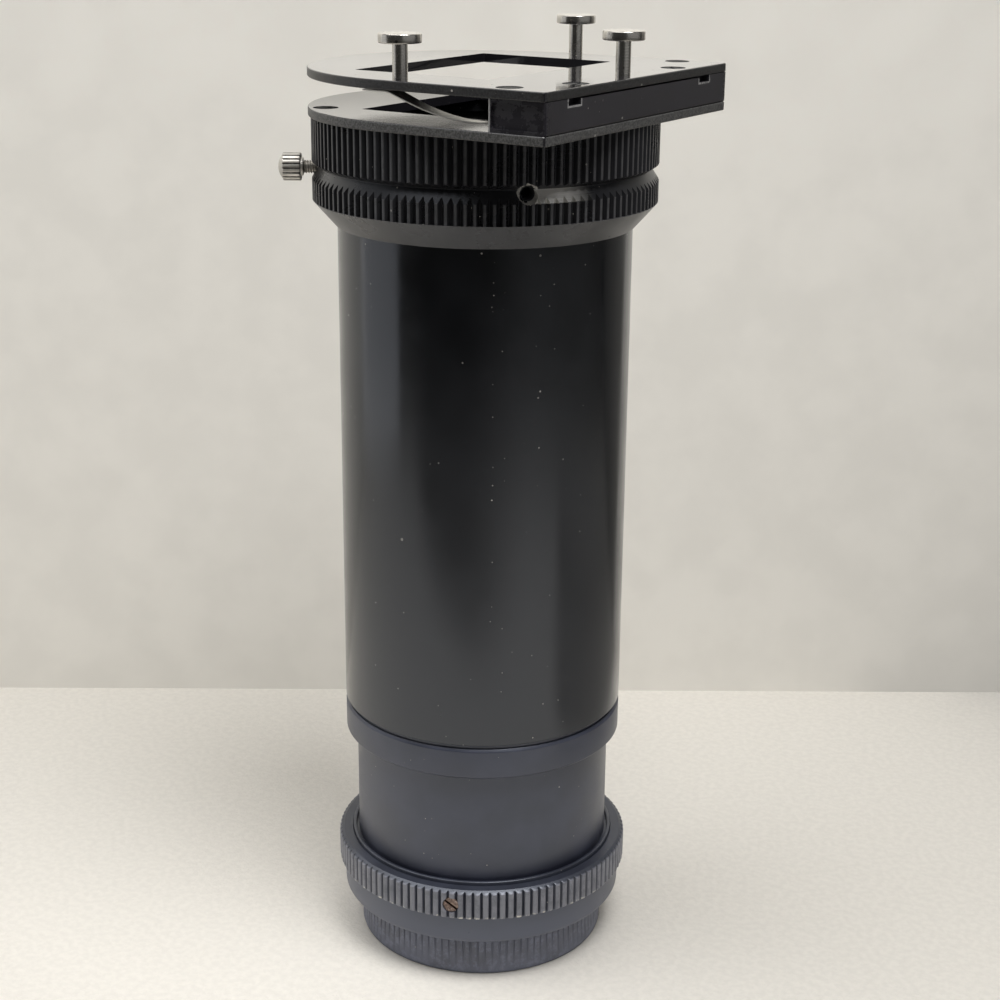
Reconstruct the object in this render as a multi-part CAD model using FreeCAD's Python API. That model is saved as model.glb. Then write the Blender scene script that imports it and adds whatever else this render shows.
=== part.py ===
"""Slide duplicator: a tube with a relay lens, a slide stage on top and a camera mount below.

Units are millimetres and degrees. The origin is the centre of the rear cap's flat base, +Z runs
up the optical axis to the slide stage, and +X points to the square end of the stage plates.
"""
import FreeCAD, Part
import os
from math import cos, pi, radians, sin, sqrt

V = FreeCAD.Vector

# ---- fits -------------------------------------------------------------------------------------
RUN_GAP = 0.05            # radial clearance where one piece turns or slides on another
SEAT_GAP = 0.03           # radial clearance of a screwed or pressed seat
FACE_GAP = 0.2            # axial clearance between faces that turn past each other
SPRING_GAP = 0.25         # play above the tab of a leaf spring
CUT_OVER = 1.0            # a cutting tool runs this far past the face it leaves
RIB_LAND = 0.22           # share of a rib's pitch that stays as a land

# ---- screw thread and the tubes built up from it -----------------------------------------------
THREAD_RADIUS = 21.0      # 42 mm thread, camera side and tube side alike
THREAD_WALL = 2.4
REAR_SHOULDER = 3.4       # rear tube over the thread
REAR_STEP = 2.1           # the collar and the main tube stand out this far over the rear tube
LIGHT_RADIUS = THREAD_RADIUS - THREAD_WALL
REAR_RADIUS = THREAD_RADIUS + REAR_SHOULDER
TUBE_RADIUS = REAR_RADIUS + REAR_STEP

# ---- main tube ----------------------------------------------------------------------------------
TUBE_WALL = 2.5
TUBE_LENGTH = 107.9
COUNTERBORE_WALL = 1.4
COUNTERBORE_DEPTH = 20.6  # lens board seat, from the foot of the tube
CLAMP_V_DEPTH = 0.6       # groove that the clamp shoe runs in
COUNTERBORE_RADIUS = TUBE_RADIUS - COUNTERBORE_WALL

# ---- rear tube and end collar -------------------------------------------------------------------
REAR_WALL = 2.0
REAR_EXPOSED = 22.6       # from the inner ring's seat to the collar
REAR_SOCKET = 12.5        # length of the rear tube inside the collar
COLLAR_HEIGHT = 5.9
COLLAR_FOOT = 0.35        # chamfer at the foot
COLLAR_CROWN = (0.35, 0.5)
NECK_DEPTH = 0.65         # dark groove between collar and main tube
NECK_HEIGHT = 0.8
SPIGOT_LENGTH = 8.0       # screwed into the main tube
NECK_RADIUS = TUBE_RADIUS - NECK_DEPTH

# ---- inner mount ring: turns in the knurled ring and screws on the rear tube --------------------
RECESS_GAP = 0.55         # dark gap round the rear tube
INNER_RING_WALL = 0.65    # lip outside the recess
INNER_RING_LIP = 0.7      # stands above the knurled ring
INNER_RING_RECESS = 0.8   # the rear tube's shoulder sits in it
INNER_RING_HEIGHT = 7.5
LIP_ROUND = 0.25
RECESS_RADIUS = REAR_RADIUS + RECESS_GAP
INNER_RING_RADIUS = RECESS_RADIUS + INNER_RING_WALL

# ---- camera mount: knurled ring that carries the camera thread ----------------------------------
THREAD_LENGTH = 4.8
BAND_HEIGHT = 5.6
BAND_STEP = 1.1           # plain band below the knurl
BAND_EDGE = 0.9           # rounding under the band
KNURL_WALL = 2.65
KNURL_HEIGHT = 5.8
KNURL_RIBS = 111
KNURL_DEPTH = 0.6
KNURL_TOP_CHAMFER = (0.9, 0.6)     # across, down
KNURL_FOOT_CHAMFER = 0.3
KNURL_RADIUS = INNER_RING_RADIUS + RUN_GAP + KNURL_WALL
BAND_RADIUS = KNURL_RADIUS - BAND_STEP
SCREW_V_DEPTH = 1.1       # V groove of the inner ring that the set screws bite in
SCREW_DROP = 3.0          # set screw axis below the top face of the knurled ring
SET_SCREW_RADIUS = 1.5
SET_SCREW_SINK = 0.35     # head below the rib tops
SET_SCREW_ANGLES = (-68.6, 51.4, 171.4)
SLOT_WIDTH = 0.45
SLOT_DEPTH = 0.7
SLOT_TURN = 55.0

# ---- rear cap ---------------------------------------------------------------------------------
CAP_WALL = 2.85
CAP_HEIGHT = 8.5
CAP_FLOOR = 1.8
CAP_EDGE = 0.5            # chamfer round the base
CAP_RIBS = 108
CAP_RIB_DEPTH = 0.3
CAP_LIP = 0.7             # plain rim above the ribs
CAP_RADIUS = THREAD_RADIUS + RUN_GAP + CAP_WALL

# ---- lens ---------------------------------------------------------------------------------------
BOARD_HEIGHT = 3.5
LOCK_RING_HEIGHT = 4.0
LOCK_RING_WALL = 3.6
BARREL_BORE = 9.6
BARREL_NECK_WALL = 2.4
BARREL_STEP = 1.0         # barrel behind the board, over the neck
BARREL_FLANGE_STEP = 2.5
BARREL_FLANGE_HEIGHT = 2.0
BARREL_NUT_HEIGHT = 1.6
LEDGE_STEP = 1.2          # ledge that the stop and the rear spacer rest on
LEDGE_HEIGHT = 1.1
STOP_HEIGHT = 0.5
STOP_APERTURE = 3.0
SPACER_HEIGHT = 5.4
LENS_RIM = 2.0            # edge thickness of each element
LENS_LAND = 1.4           # flat ring round the polished face
FRONT_CURVE = 28.0        # outer face radius of both elements
INNER_CURVE = 75.0
RETAINER_HEIGHT = 1.5
KEY_SLOT = (1.2, 0.6)     # spanner slots: width, depth
BARREL_END = 0.6          # barrel wall past the retainers
LEDGE_RADIUS = BARREL_BORE - LEDGE_STEP
LENS_CLEAR = BARREL_BORE - LENS_LAND
BARREL_NECK_RADIUS = BARREL_BORE + BARREL_NECK_WALL
BARREL_RADIUS = BARREL_NECK_RADIUS + BARREL_STEP
BARREL_FLANGE_RADIUS = BARREL_RADIUS + BARREL_FLANGE_STEP

# ---- head ring ----------------------------------------------------------------------------------
HEAD_WALL = 4.3           # from the bore to the tips of the ribs
HEAD_RIBS = 120
HEAD_RIB_DEPTH = 0.65
UPPER_KNURL = 7.85        # heights from the top face down
V_TOP_FLANK = 0.9
V_LOWER_FLANK = 2.25
V_DEPTH = 1.45
LOWER_KNURL = 3.6
CONE_HEIGHT = 4.4
CONE_FOOT = 0.4           # wall at the foot of the cone
HEAD_FLANGE = 2.2         # top flange over the tube's end
HEAD_FLANGE_STEP = 0.8    # flange inside the tube's bore
HEAD_BORE = TUBE_RADIUS + RUN_GAP
HEAD_RADIUS = HEAD_BORE + HEAD_WALL
V_RADIUS = HEAD_RADIUS - V_DEPTH
CONE_RADIUS = HEAD_BORE + CONE_FOOT
HEAD_OPENING = TUBE_RADIUS - TUBE_WALL - HEAD_FLANGE_STEP

# ---- clamp of the head ring ---------------------------------------------------------------------
CLAMP_ANGLE = -147.0
SPARE_ANGLE = -43.3       # second tapped hole, without a screw
CLAMP_DROP = 0.7          # screw axis below the bottom of the V groove
CLAMP_BORE = 1.25
SHOE_LENGTH = 1.6
THUMB_RADIUS = 2.5
THUMB_LENGTH = 3.2
THUMB_DOME = 0.9
THUMB_RIBS = 20
THUMB_RIB_DEPTH = 0.25
THUMB_STANDOFF = 2.0      # bare thread between head ring and thumb screw head
THUMB_COLLAR = 0.4

# ---- stage plates -------------------------------------------------------------------------------
PLATE_OVERHANG = 0.45     # plate over the head ring
PLATE_REACH = 31.4        # square end, from the axis
PLATE_THICK = 1.6
PLATE_CORNER = 0.8
PLATE_EDGE = 0.25
STAGE_GAP = 5.2           # between the plates
UPPER_WINDOW = (27.5, 40.0)
LOWER_WINDOW = (27.5, 36.5)
BLOCK_WIDTH = 10.8
BLOCK_SETBACK = 0.3       # block ends inside the plate's long sides
BLOCK_EDGE = 0.3
POCKET_DEPTH = 0.5        # shallow pocket in each end of the block
POCKET_MARGIN = 0.55
POCKET_CORNER = 0.7
NOTCH_INSET = 8.6         # two notches in the top edge of the block, from its ends
NOTCH_WIDTH = 3.9
NOTCH_DEPTH = 1.1
NOTCH_REACH = 1.5
RELIEF_DEPTH = 0.22       # slit under the plate, from notch to notch
RELIEF_REACH = 2.5
PLATE_ROUND = HEAD_RADIUS + PLATE_OVERHANG    # round end and half width
BLOCK_FACE = PLATE_REACH - BLOCK_WIDTH

# ---- stage screws and posts ---------------------------------------------------------------------
SCREW_RADIUS = 1.0
CSK_RADIUS = 2.2
CSK_SINK = 0.1
LOWER_SCREW_LENGTH = 6.0
BLOCK_SCREWS = ((8.55, 3.1), (3.3, 14.6))     # from the square end, from the long side
POST_INSET = 3.3          # side post axes from the plate's long side
POST_OFFSET = 1.6         # side post axes from the optical axis, toward the block
END_POST_INSET = 4.0      # end post's axis from the square end
POST_RADIUS = 1.27
POST_CLEAR = 5.75         # from the plate to the underside of the head
POST_HEAD_STEP = 2.33     # head over the shank
POST_HEAD_HEIGHT = 1.55
POST_HEAD_EDGE = 0.25
END_POST_DEPTH = 3.5      # end post's shank inside the block
SCREW_CIRCLE = (HEAD_BORE + HEAD_RADIUS - HEAD_RIB_DEPTH) / 2    # middle of the head ring's wall
POST_LINE = PLATE_ROUND - POST_INSET
POST_HEAD_RADIUS = POST_RADIUS + POST_HEAD_STEP

# ---- leaf springs -------------------------------------------------------------------------------
LEAF_THICK = 0.25
LEAF_WIDTH = 3.6          # at the tab
LEAF_TIP_WIDTH = 1.9
LEAF_TAB = 4.4            # flat tab under the plate
LEAF_SLOPE = 20.0         # degrees down to the gate
LEAF_BENDS = (1.2, 13.3)  # lengths of the short bend at the tab and the long one above the gate
LEAF_TIP = (2.0, 20.0)    # curled end: length, degrees
LEAF_TIP_GAP = 1.0        # from the tip to the block
LEAF_LIFT = 0.8           # rest height over the gate

# ---- levels up the optical axis -----------------------------------------------------------------
Z_BAND = CAP_HEIGHT + FACE_GAP
Z_KNURL = Z_BAND + BAND_HEIGHT
Z_MOUNT_TOP = Z_KNURL + KNURL_HEIGHT
Z_INNER_TOP = Z_MOUNT_TOP + INNER_RING_LIP
Z_SEAT = Z_INNER_TOP - INNER_RING_RECESS
Z_INNER_FOOT = Z_INNER_TOP - INNER_RING_HEIGHT
Z_SET_SCREW = Z_MOUNT_TOP - SCREW_DROP
Z_COLLAR = Z_SEAT + REAR_EXPOSED
Z_NECK = Z_COLLAR + COLLAR_HEIGHT
Z_TUBE = Z_NECK + NECK_HEIGHT
Z_TUBE_TOP = Z_TUBE + TUBE_LENGTH
Z_BOARD_TOP = Z_TUBE + COUNTERBORE_DEPTH
Z_BOARD = Z_BOARD_TOP - BOARD_HEIGHT
Z_HEAD_TOP = Z_TUBE_TOP + FACE_GAP + HEAD_FLANGE
Z_UPPER_KNURL = Z_HEAD_TOP - UPPER_KNURL
Z_V = Z_UPPER_KNURL - V_TOP_FLANK
Z_LOWER_KNURL_TOP = Z_V - V_LOWER_FLANK
Z_CONE_TOP = Z_LOWER_KNURL_TOP - LOWER_KNURL
Z_HEAD_FOOT = Z_CONE_TOP - CONE_HEIGHT
Z_CLAMP = Z_V - CLAMP_DROP
Z_GATE = Z_HEAD_TOP + PLATE_THICK
Z_UPPER = Z_GATE + STAGE_GAP
Z_PLATE_TOP = Z_UPPER + PLATE_THICK
Z_LEAF = Z_UPPER - SPRING_GAP - LEAF_THICK / 2
NEAR = 1e-6               # tolerance for picking edges


# ---- shape helpers ------------------------------------------------------------------------------
def revolve(points):
    """Solid of revolution about Z from a closed outline of (radius, height) points."""
    wire = Part.makePolygon([V(r, 0, z) for r, z in points + points[:1]])
    return Part.Face(wire).revolve(V(0, 0, 0), V(0, 0, 1), 360)


def ring(outer, inner, low, high):
    """Plain tube between two heights."""
    return revolve([(inner, low), (outer, low), (outer, high), (inner, high)])


def rod(radius, low, high, x=0.0, y=0.0):
    return Part.makeCylinder(radius, high - low, V(x, y, low))


def ribbed_prism(radius, depth, count, low, high):
    """Prism with V grooves round it and a narrow land on each rib."""
    pitch = 2 * pi / count
    points = []
    for i in range(count):
        for turn, r in ((-RIB_LAND / 2, radius), (RIB_LAND / 2, radius), (0.5, radius - depth)):
            angle = (i + turn) * pitch
            points.append(V(r * cos(angle), r * sin(angle), low))
    face = Part.Face(Part.makePolygon(points + points[:1]))
    return face.extrude(V(0, 0, high - low))


def radial(shape, angle, height):
    """Turn a shape that points along +Z so that it points outwards at this angle and height."""
    placed = shape.copy()
    placed.rotate(V(0, 0, 0), V(0, 1, 0), 90)
    placed.rotate(V(0, 0, 0), V(0, 0, 1), angle)
    placed.translate(V(0, 0, height))
    return placed


def polar(radius, angle):
    return radius * cos(radians(angle)), radius * sin(radians(angle))


def window(size, low):
    """Rectangular opening through a plate that starts at this height, short side along X."""
    deep = PLATE_THICK + 2 * CUT_OVER
    return Part.makeBox(size[0], size[1], deep, V(-size[0] / 2, -size[1] / 2, low - CUT_OVER))


def key_slots(radius, height):
    """Two spanner slots across the top of a threaded ring."""
    width, depth = KEY_SLOT
    return Part.makeBox(2 * radius, width, depth, V(-radius, -width / 2, height - depth))


# ---- rear cap and camera mount ------------------------------------------------------------------
def rear_cap():
    body = revolve([
        (0, 0), (CAP_RADIUS - CAP_EDGE, 0), (CAP_RADIUS, CAP_EDGE), (CAP_RADIUS, CAP_HEIGHT - CAP_LIP),
        (CAP_RADIUS - CAP_RIB_DEPTH, CAP_HEIGHT - CAP_LIP), (CAP_RADIUS - CAP_RIB_DEPTH, CAP_HEIGHT),
        (0, CAP_HEIGHT)])
    ribs = ribbed_prism(CAP_RADIUS, CAP_RIB_DEPTH, CAP_RIBS, 0, CAP_HEIGHT)
    hollow = rod(THREAD_RADIUS + RUN_GAP, CAP_FLOOR, CAP_HEIGHT)
    return body.common(ribs).cut(hollow)


def mount_ring():
    across, down = KNURL_TOP_CHAMFER
    bore = INNER_RING_RADIUS + RUN_GAP
    floor = Z_INNER_FOOT - FACE_GAP
    body = revolve([
        (LIGHT_RADIUS, Z_BAND - THREAD_LENGTH), (THREAD_RADIUS, Z_BAND - THREAD_LENGTH),
        (THREAD_RADIUS, Z_BAND), (BAND_RADIUS - BAND_EDGE, Z_BAND), (BAND_RADIUS, Z_BAND + BAND_EDGE),
        (BAND_RADIUS, Z_KNURL), (KNURL_RADIUS - KNURL_FOOT_CHAMFER, Z_KNURL),
        (KNURL_RADIUS, Z_KNURL + KNURL_FOOT_CHAMFER), (KNURL_RADIUS, Z_MOUNT_TOP - down),
        (KNURL_RADIUS - across, Z_MOUNT_TOP), (bore, Z_MOUNT_TOP), (bore, floor), (LIGHT_RADIUS, floor)])
    ribs = ribbed_prism(KNURL_RADIUS, KNURL_DEPTH, KNURL_RIBS, 0, Z_MOUNT_TOP)
    body = body.common(ribs)
    for angle in SET_SCREW_ANGLES:
        hole = rod(SET_SCREW_RADIUS + SEAT_GAP, LIGHT_RADIUS, KNURL_RADIUS + CUT_OVER)
        body = body.cut(radial(hole, angle, Z_SET_SCREW))
    return body


def mount_set_screws():
    """Three slotted set screws whose cone points sit in the inner ring's V groove."""
    outer = KNURL_RADIUS - SET_SCREW_SINK
    tip = INNER_RING_RADIUS - SCREW_V_DEPTH + FACE_GAP
    cone = tip + SET_SCREW_RADIUS
    screw = revolve([(0, tip), (SET_SCREW_RADIUS, cone), (SET_SCREW_RADIUS, outer), (0, outer)])
    slot = Part.makeBox(2 * SET_SCREW_RADIUS, SLOT_WIDTH, SLOT_DEPTH,
                        V(-SET_SCREW_RADIUS, -SLOT_WIDTH / 2, outer - SLOT_DEPTH))
    slot.rotate(V(0, 0, 0), V(0, 0, 1), SLOT_TURN)
    screw = screw.cut(slot)
    return Part.makeCompound([radial(screw, angle, Z_SET_SCREW) for angle in SET_SCREW_ANGLES])


def inner_mount_ring():
    bore = THREAD_RADIUS + SEAT_GAP
    v_low = Z_SET_SCREW - SCREW_V_DEPTH
    v_high = Z_SET_SCREW + SCREW_V_DEPTH
    return revolve([
        (bore, Z_INNER_FOOT), (INNER_RING_RADIUS, Z_INNER_FOOT), (INNER_RING_RADIUS, v_low),
        (INNER_RING_RADIUS - SCREW_V_DEPTH, Z_SET_SCREW), (INNER_RING_RADIUS, v_high),
        (INNER_RING_RADIUS, Z_INNER_TOP - LIP_ROUND), (INNER_RING_RADIUS - LIP_ROUND, Z_INNER_TOP),
        (RECESS_RADIUS, Z_INNER_TOP), (RECESS_RADIUS, Z_SEAT), (bore, Z_SEAT)])


# ---- tubes --------------------------------------------------------------------------------------
def rear_tube():
    inner = REAR_RADIUS - REAR_WALL
    top = Z_COLLAR + REAR_SOCKET
    foot = Z_INNER_FOOT + FACE_GAP
    return revolve([
        (LIGHT_RADIUS, foot), (THREAD_RADIUS, foot), (THREAD_RADIUS, Z_SEAT), (REAR_RADIUS, Z_SEAT),
        (REAR_RADIUS, top), (inner, top), (inner, Z_SEAT + REAR_WALL), (LIGHT_RADIUS, Z_SEAT + REAR_WALL)])


def end_collar():
    """Joins the tubes: a spigot goes up into the main tube, the rear tube stops at the inner lip."""
    bore = REAR_RADIUS + SEAT_GAP
    lip = REAR_RADIUS - REAR_WALL
    stop = Z_COLLAR + REAR_SOCKET
    spigot = COUNTERBORE_RADIUS - SEAT_GAP
    across, down = COLLAR_CROWN
    return revolve([
        (bore, Z_COLLAR), (TUBE_RADIUS - COLLAR_FOOT, Z_COLLAR), (TUBE_RADIUS, Z_COLLAR + COLLAR_FOOT),
        (TUBE_RADIUS, Z_NECK - down), (TUBE_RADIUS - across, Z_NECK), (NECK_RADIUS, Z_NECK),
        (NECK_RADIUS, Z_TUBE), (spigot, Z_TUBE), (spigot, Z_TUBE + SPIGOT_LENGTH),
        (lip, Z_TUBE + SPIGOT_LENGTH), (lip, stop), (bore, stop)])


def main_tube():
    bore = TUBE_RADIUS - TUBE_WALL
    return revolve([
        (COUNTERBORE_RADIUS, Z_TUBE), (TUBE_RADIUS, Z_TUBE), (TUBE_RADIUS, Z_CLAMP - CLAMP_V_DEPTH),
        (TUBE_RADIUS - CLAMP_V_DEPTH, Z_CLAMP), (TUBE_RADIUS, Z_CLAMP + CLAMP_V_DEPTH),
        (TUBE_RADIUS, Z_TUBE_TOP), (bore, Z_TUBE_TOP), (bore, Z_BOARD_TOP),
        (COUNTERBORE_RADIUS, Z_BOARD_TOP)])


# ---- lens ---------------------------------------------------------------------------------------
def lens_levels():
    """Heights of the lens stack, built outwards from the ledge in the barrel."""
    flange_top = Z_BOARD
    front_rim = flange_top + BOARD_HEIGHT - LENS_RIM
    stop = front_rim - SPACER_HEIGHT - STOP_HEIGHT
    ledge = stop - LEDGE_HEIGHT
    rear_rim = ledge - SPACER_HEIGHT - LENS_RIM
    return dict(front_rim=front_rim, stop=stop, ledge=ledge, rear_rim=rear_rim,
                top=front_rim + LENS_RIM + RETAINER_HEIGHT + BARREL_END,
                foot=rear_rim - RETAINER_HEIGHT - BARREL_END)


LENS = lens_levels()


def lens_board():
    outer = COUNTERBORE_RADIUS - SEAT_GAP
    return ring(outer, BARREL_NECK_RADIUS + SEAT_GAP, Z_BOARD, Z_BOARD_TOP)


def board_lock_ring():
    outer = COUNTERBORE_RADIUS - SEAT_GAP
    body = ring(outer, outer - LOCK_RING_WALL, Z_BOARD - LOCK_RING_HEIGHT, Z_BOARD)
    return body.cut(key_slots(outer, Z_BOARD - LOCK_RING_HEIGHT + KEY_SLOT[1]))


def lens_barrel():
    flange_foot = Z_BOARD - BARREL_FLANGE_HEIGHT
    return revolve([
        (BARREL_BORE, LENS["foot"]), (BARREL_RADIUS, LENS["foot"]), (BARREL_RADIUS, flange_foot),
        (BARREL_FLANGE_RADIUS, flange_foot), (BARREL_FLANGE_RADIUS, Z_BOARD),
        (BARREL_NECK_RADIUS, Z_BOARD), (BARREL_NECK_RADIUS, LENS["top"]), (BARREL_BORE, LENS["top"]),
        (BARREL_BORE, LENS["stop"]), (LEDGE_RADIUS, LENS["stop"]), (LEDGE_RADIUS, LENS["ledge"]),
        (BARREL_BORE, LENS["ledge"])])


def barrel_nut():
    """Threaded ring that draws the barrel's flange up against the lens board."""
    top = Z_BOARD_TOP + BARREL_NUT_HEIGHT
    body = ring(BARREL_FLANGE_RADIUS, BARREL_NECK_RADIUS + SEAT_GAP, Z_BOARD_TOP, top)
    return body.cut(key_slots(BARREL_FLANGE_RADIUS, top))


def lens_ring(inner, low, height):
    """Plain ring in the barrel's bore."""
    return ring(BARREL_BORE - SEAT_GAP, inner, low, low + height)


def lens_element(rim, outward):
    """Biconvex element with a flat ground rim; outward is +1 for the front one, -1 for the rear."""
    def sag(curve):
        return curve - sqrt(curve ** 2 - LENS_CLEAR ** 2)

    def arc(curve, level, side):
        mid = LENS_CLEAR / 2
        rise = sqrt(curve ** 2 - mid ** 2) - sqrt(curve ** 2 - LENS_CLEAR ** 2)
        return Part.Arc(V(LENS_CLEAR, 0, level), V(mid, 0, level + side * rise),
                        V(0, 0, level + side * sag(curve))).toShape()

    radius = BARREL_BORE - SEAT_GAP
    top, foot = rim + LENS_RIM, rim
    upper, lower = (FRONT_CURVE, INNER_CURVE) if outward > 0 else (INNER_CURVE, FRONT_CURVE)
    edges = [
        arc(lower, foot, -1),
        Part.makeLine(V(LENS_CLEAR, 0, foot), V(radius, 0, foot)),
        Part.makeLine(V(radius, 0, foot), V(radius, 0, top)),
        Part.makeLine(V(radius, 0, top), V(LENS_CLEAR, 0, top)),
        arc(upper, top, 1),
        Part.makeLine(V(0, 0, top + sag(upper)), V(0, 0, foot - sag(lower)))]
    wire = Part.Wire(Part.__sortEdges__(edges))
    return Part.Face(wire).revolve(V(0, 0, 0), V(0, 0, 1), 360)


def retainer(low, slot_top):
    body = lens_ring(LENS_CLEAR, low, RETAINER_HEIGHT)
    return body.cut(key_slots(BARREL_BORE, slot_top))


# ---- head ring and its clamp --------------------------------------------------------------------
def head_ring():
    bore = HEAD_BORE
    flange = Z_TUBE_TOP + FACE_GAP
    body = revolve([
        (bore, Z_HEAD_FOOT), (CONE_RADIUS, Z_HEAD_FOOT), (HEAD_RADIUS, Z_CONE_TOP),
        (HEAD_RADIUS, Z_LOWER_KNURL_TOP), (V_RADIUS, Z_V), (HEAD_RADIUS, Z_UPPER_KNURL),
        (HEAD_RADIUS, Z_HEAD_TOP), (HEAD_OPENING, Z_HEAD_TOP), (HEAD_OPENING, flange), (bore, flange)])
    body = body.common(ribbed_prism(HEAD_RADIUS, HEAD_RIB_DEPTH, HEAD_RIBS, Z_HEAD_FOOT, Z_HEAD_TOP))
    for angle in (CLAMP_ANGLE, SPARE_ANGLE):
        body = body.cut(radial(rod(CLAMP_BORE, HEAD_BORE - CUT_OVER, HEAD_RADIUS + CUT_OVER), angle, Z_CLAMP))
    bottom = Z_GATE - LOWER_SCREW_LENGTH - FACE_GAP
    for x, y in lower_screw_places():
        body = body.cut(rod(SCREW_RADIUS + SEAT_GAP, bottom, Z_HEAD_TOP, x, y))
    return body


def clamp_levels():
    """Radii along the clamp screw: groove, shoe and head."""
    tip = TUBE_RADIUS - CLAMP_V_DEPTH + RUN_GAP * 2
    shoe_top = tip + SHOE_LENGTH
    head = HEAD_RADIUS + THUMB_STANDOFF
    return tip, shoe_top, head


def clamp_shoe():
    """Brass shoe with a cone point that runs in the tube's groove, under the thumb screw."""
    tip, top, _ = clamp_levels()
    radius = CLAMP_BORE - RUN_GAP
    shoe = revolve([(0, tip), (radius, tip + radius), (radius, top), (0, top)])
    return radial(shoe, CLAMP_ANGLE, Z_CLAMP)


def thumb_screw():
    _, shoe_top, head = clamp_levels()
    shank = CLAMP_BORE - RUN_GAP
    start = shoe_top + RUN_GAP
    grip = ribbed_prism(THUMB_RADIUS, THUMB_RIB_DEPTH, THUMB_RIBS, head, head + THUMB_LENGTH)
    neck = rod(shank, start, head)
    collar = rod(shank + THUMB_COLLAR, head - THUMB_COLLAR, head)
    sphere = (THUMB_RADIUS ** 2 + THUMB_DOME ** 2) / (2 * THUMB_DOME)
    ball = Part.makeSphere(sphere, V(0, 0, head + THUMB_LENGTH + THUMB_DOME - sphere))
    cap = rod(THUMB_RADIUS - THUMB_RIB_DEPTH, head + THUMB_LENGTH, head + THUMB_LENGTH + THUMB_DOME)
    screw = grip.fuse([neck, collar, cap.common(ball)]).removeSplitter()
    return radial(screw, CLAMP_ANGLE, Z_CLAMP)


# ---- stage --------------------------------------------------------------------------------------
def plate_blank(low):
    """Stage plate: round at one end, square at the other, with broken edges."""
    r, x = PLATE_ROUND, PLATE_REACH
    outline = Part.Wire([
        Part.Arc(V(0, r, low), V(-r, 0, low), V(0, -r, low)).toShape(),
        Part.makeLine(V(0, -r, low), V(x, -r, low)),
        Part.makeLine(V(x, -r, low), V(x, r, low)),
        Part.makeLine(V(x, r, low), V(0, r, low))])
    blank = Part.Face(outline).extrude(V(0, 0, PLATE_THICK))
    corners = [e for e in blank.Edges if e.BoundBox.ZLength > PLATE_THICK / 2 and e.BoundBox.XMin > x / 2]
    blank = blank.makeFillet(PLATE_CORNER, corners)
    rims = [e for e in blank.Edges if e.BoundBox.ZLength < NEAR]
    return blank.makeChamfer(PLATE_EDGE, rims)


def lower_screw_places():
    return [polar(SCREW_CIRCLE, angle) for angle in (45, 135, 225, 315)]


def block_screw_places():
    return [(PLATE_REACH - x, side * (PLATE_ROUND - y)) for x, y in BLOCK_SCREWS for side in (-1, 1)]


def post_place(angle):
    """The end post stands on the block, the side posts over the leaf springs."""
    if angle == 0:
        return PLATE_REACH - END_POST_INSET, 0.0
    return POST_OFFSET, POST_LINE * sin(radians(angle))


def countersunk(top, length, x, y):
    """Countersunk screw with its head just under the face it is driven into."""
    sunk = top - CSK_SINK
    shape = revolve([(0, top - length), (SCREW_RADIUS, top - length),
                     (SCREW_RADIUS, sunk - CSK_RADIUS + SCREW_RADIUS), (CSK_RADIUS, sunk), (0, sunk)])
    shape.translate(V(x, y, 0))
    return shape


def countersink(top, x, y):
    """Hole through one plate for a countersunk screw, a seat's clearance wider all round."""
    sunk = top - CSK_SINK
    head = CSK_RADIUS + SEAT_GAP
    core = SCREW_RADIUS + SEAT_GAP
    foot = top - PLATE_THICK
    shape = revolve([(0, foot), (core, foot), (core, sunk - CSK_RADIUS + SCREW_RADIUS), (head, sunk),
                     (head, top), (0, top)])
    shape.translate(V(x, y, 0))
    return shape


def slotted_screws(top, length, places):
    """Group of countersunk screws with a driver slot, one solid each."""
    screws = []
    for x, y in places:
        slot = Part.makeBox(2 * CSK_RADIUS, SLOT_WIDTH, SLOT_DEPTH,
                            V(-CSK_RADIUS, -SLOT_WIDTH / 2, top - CSK_SINK - SLOT_DEPTH))
        slot.rotate(V(0, 0, 0), V(0, 0, 1), 20 + 37 * len(screws))
        slot.translate(V(x, y, 0))
        screws.append(countersunk(top, length, x, y).cut(slot))
    return Part.makeCompound(screws)


def block_screw_length():
    """From the upper plate's top face to the lower plate's underside."""
    return Z_PLATE_TOP - Z_HEAD_TOP - FACE_GAP


def lower_plate():
    plate = plate_blank(Z_HEAD_TOP).cut(window(LOWER_WINDOW, Z_HEAD_TOP))
    for x, y in lower_screw_places():
        plate = plate.cut(countersink(Z_GATE, x, y))
    for x, y in block_screw_places():
        plate = plate.cut(rod(SCREW_RADIUS + SEAT_GAP, Z_HEAD_TOP, Z_GATE, x, y))
    return plate


def upper_plate():
    plate = plate_blank(Z_UPPER).cut(window(UPPER_WINDOW, Z_UPPER))
    for x, y in block_screw_places():
        plate = plate.cut(countersink(Z_PLATE_TOP, x, y))
    for angle in (0, 90, -90):
        x, y = post_place(angle)
        plate = plate.cut(rod(POST_RADIUS + SEAT_GAP, Z_UPPER, Z_PLATE_TOP, x, y))
    return plate


def block_pocket(side):
    """Shallow pocket with round corners in one end of the block."""
    length = PLATE_ROUND - BLOCK_SETBACK
    box = Part.makeBox(BLOCK_WIDTH - 2 * POCKET_MARGIN, POCKET_DEPTH, STAGE_GAP - 2 * POCKET_MARGIN,
                       V(BLOCK_FACE + POCKET_MARGIN, side * length - (POCKET_DEPTH if side > 0 else 0),
                         Z_GATE + POCKET_MARGIN))
    edges = [e for e in box.Edges if e.BoundBox.XLength < NEAR and e.BoundBox.ZLength < NEAR]
    return box.makeFillet(POCKET_CORNER, edges)


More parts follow.
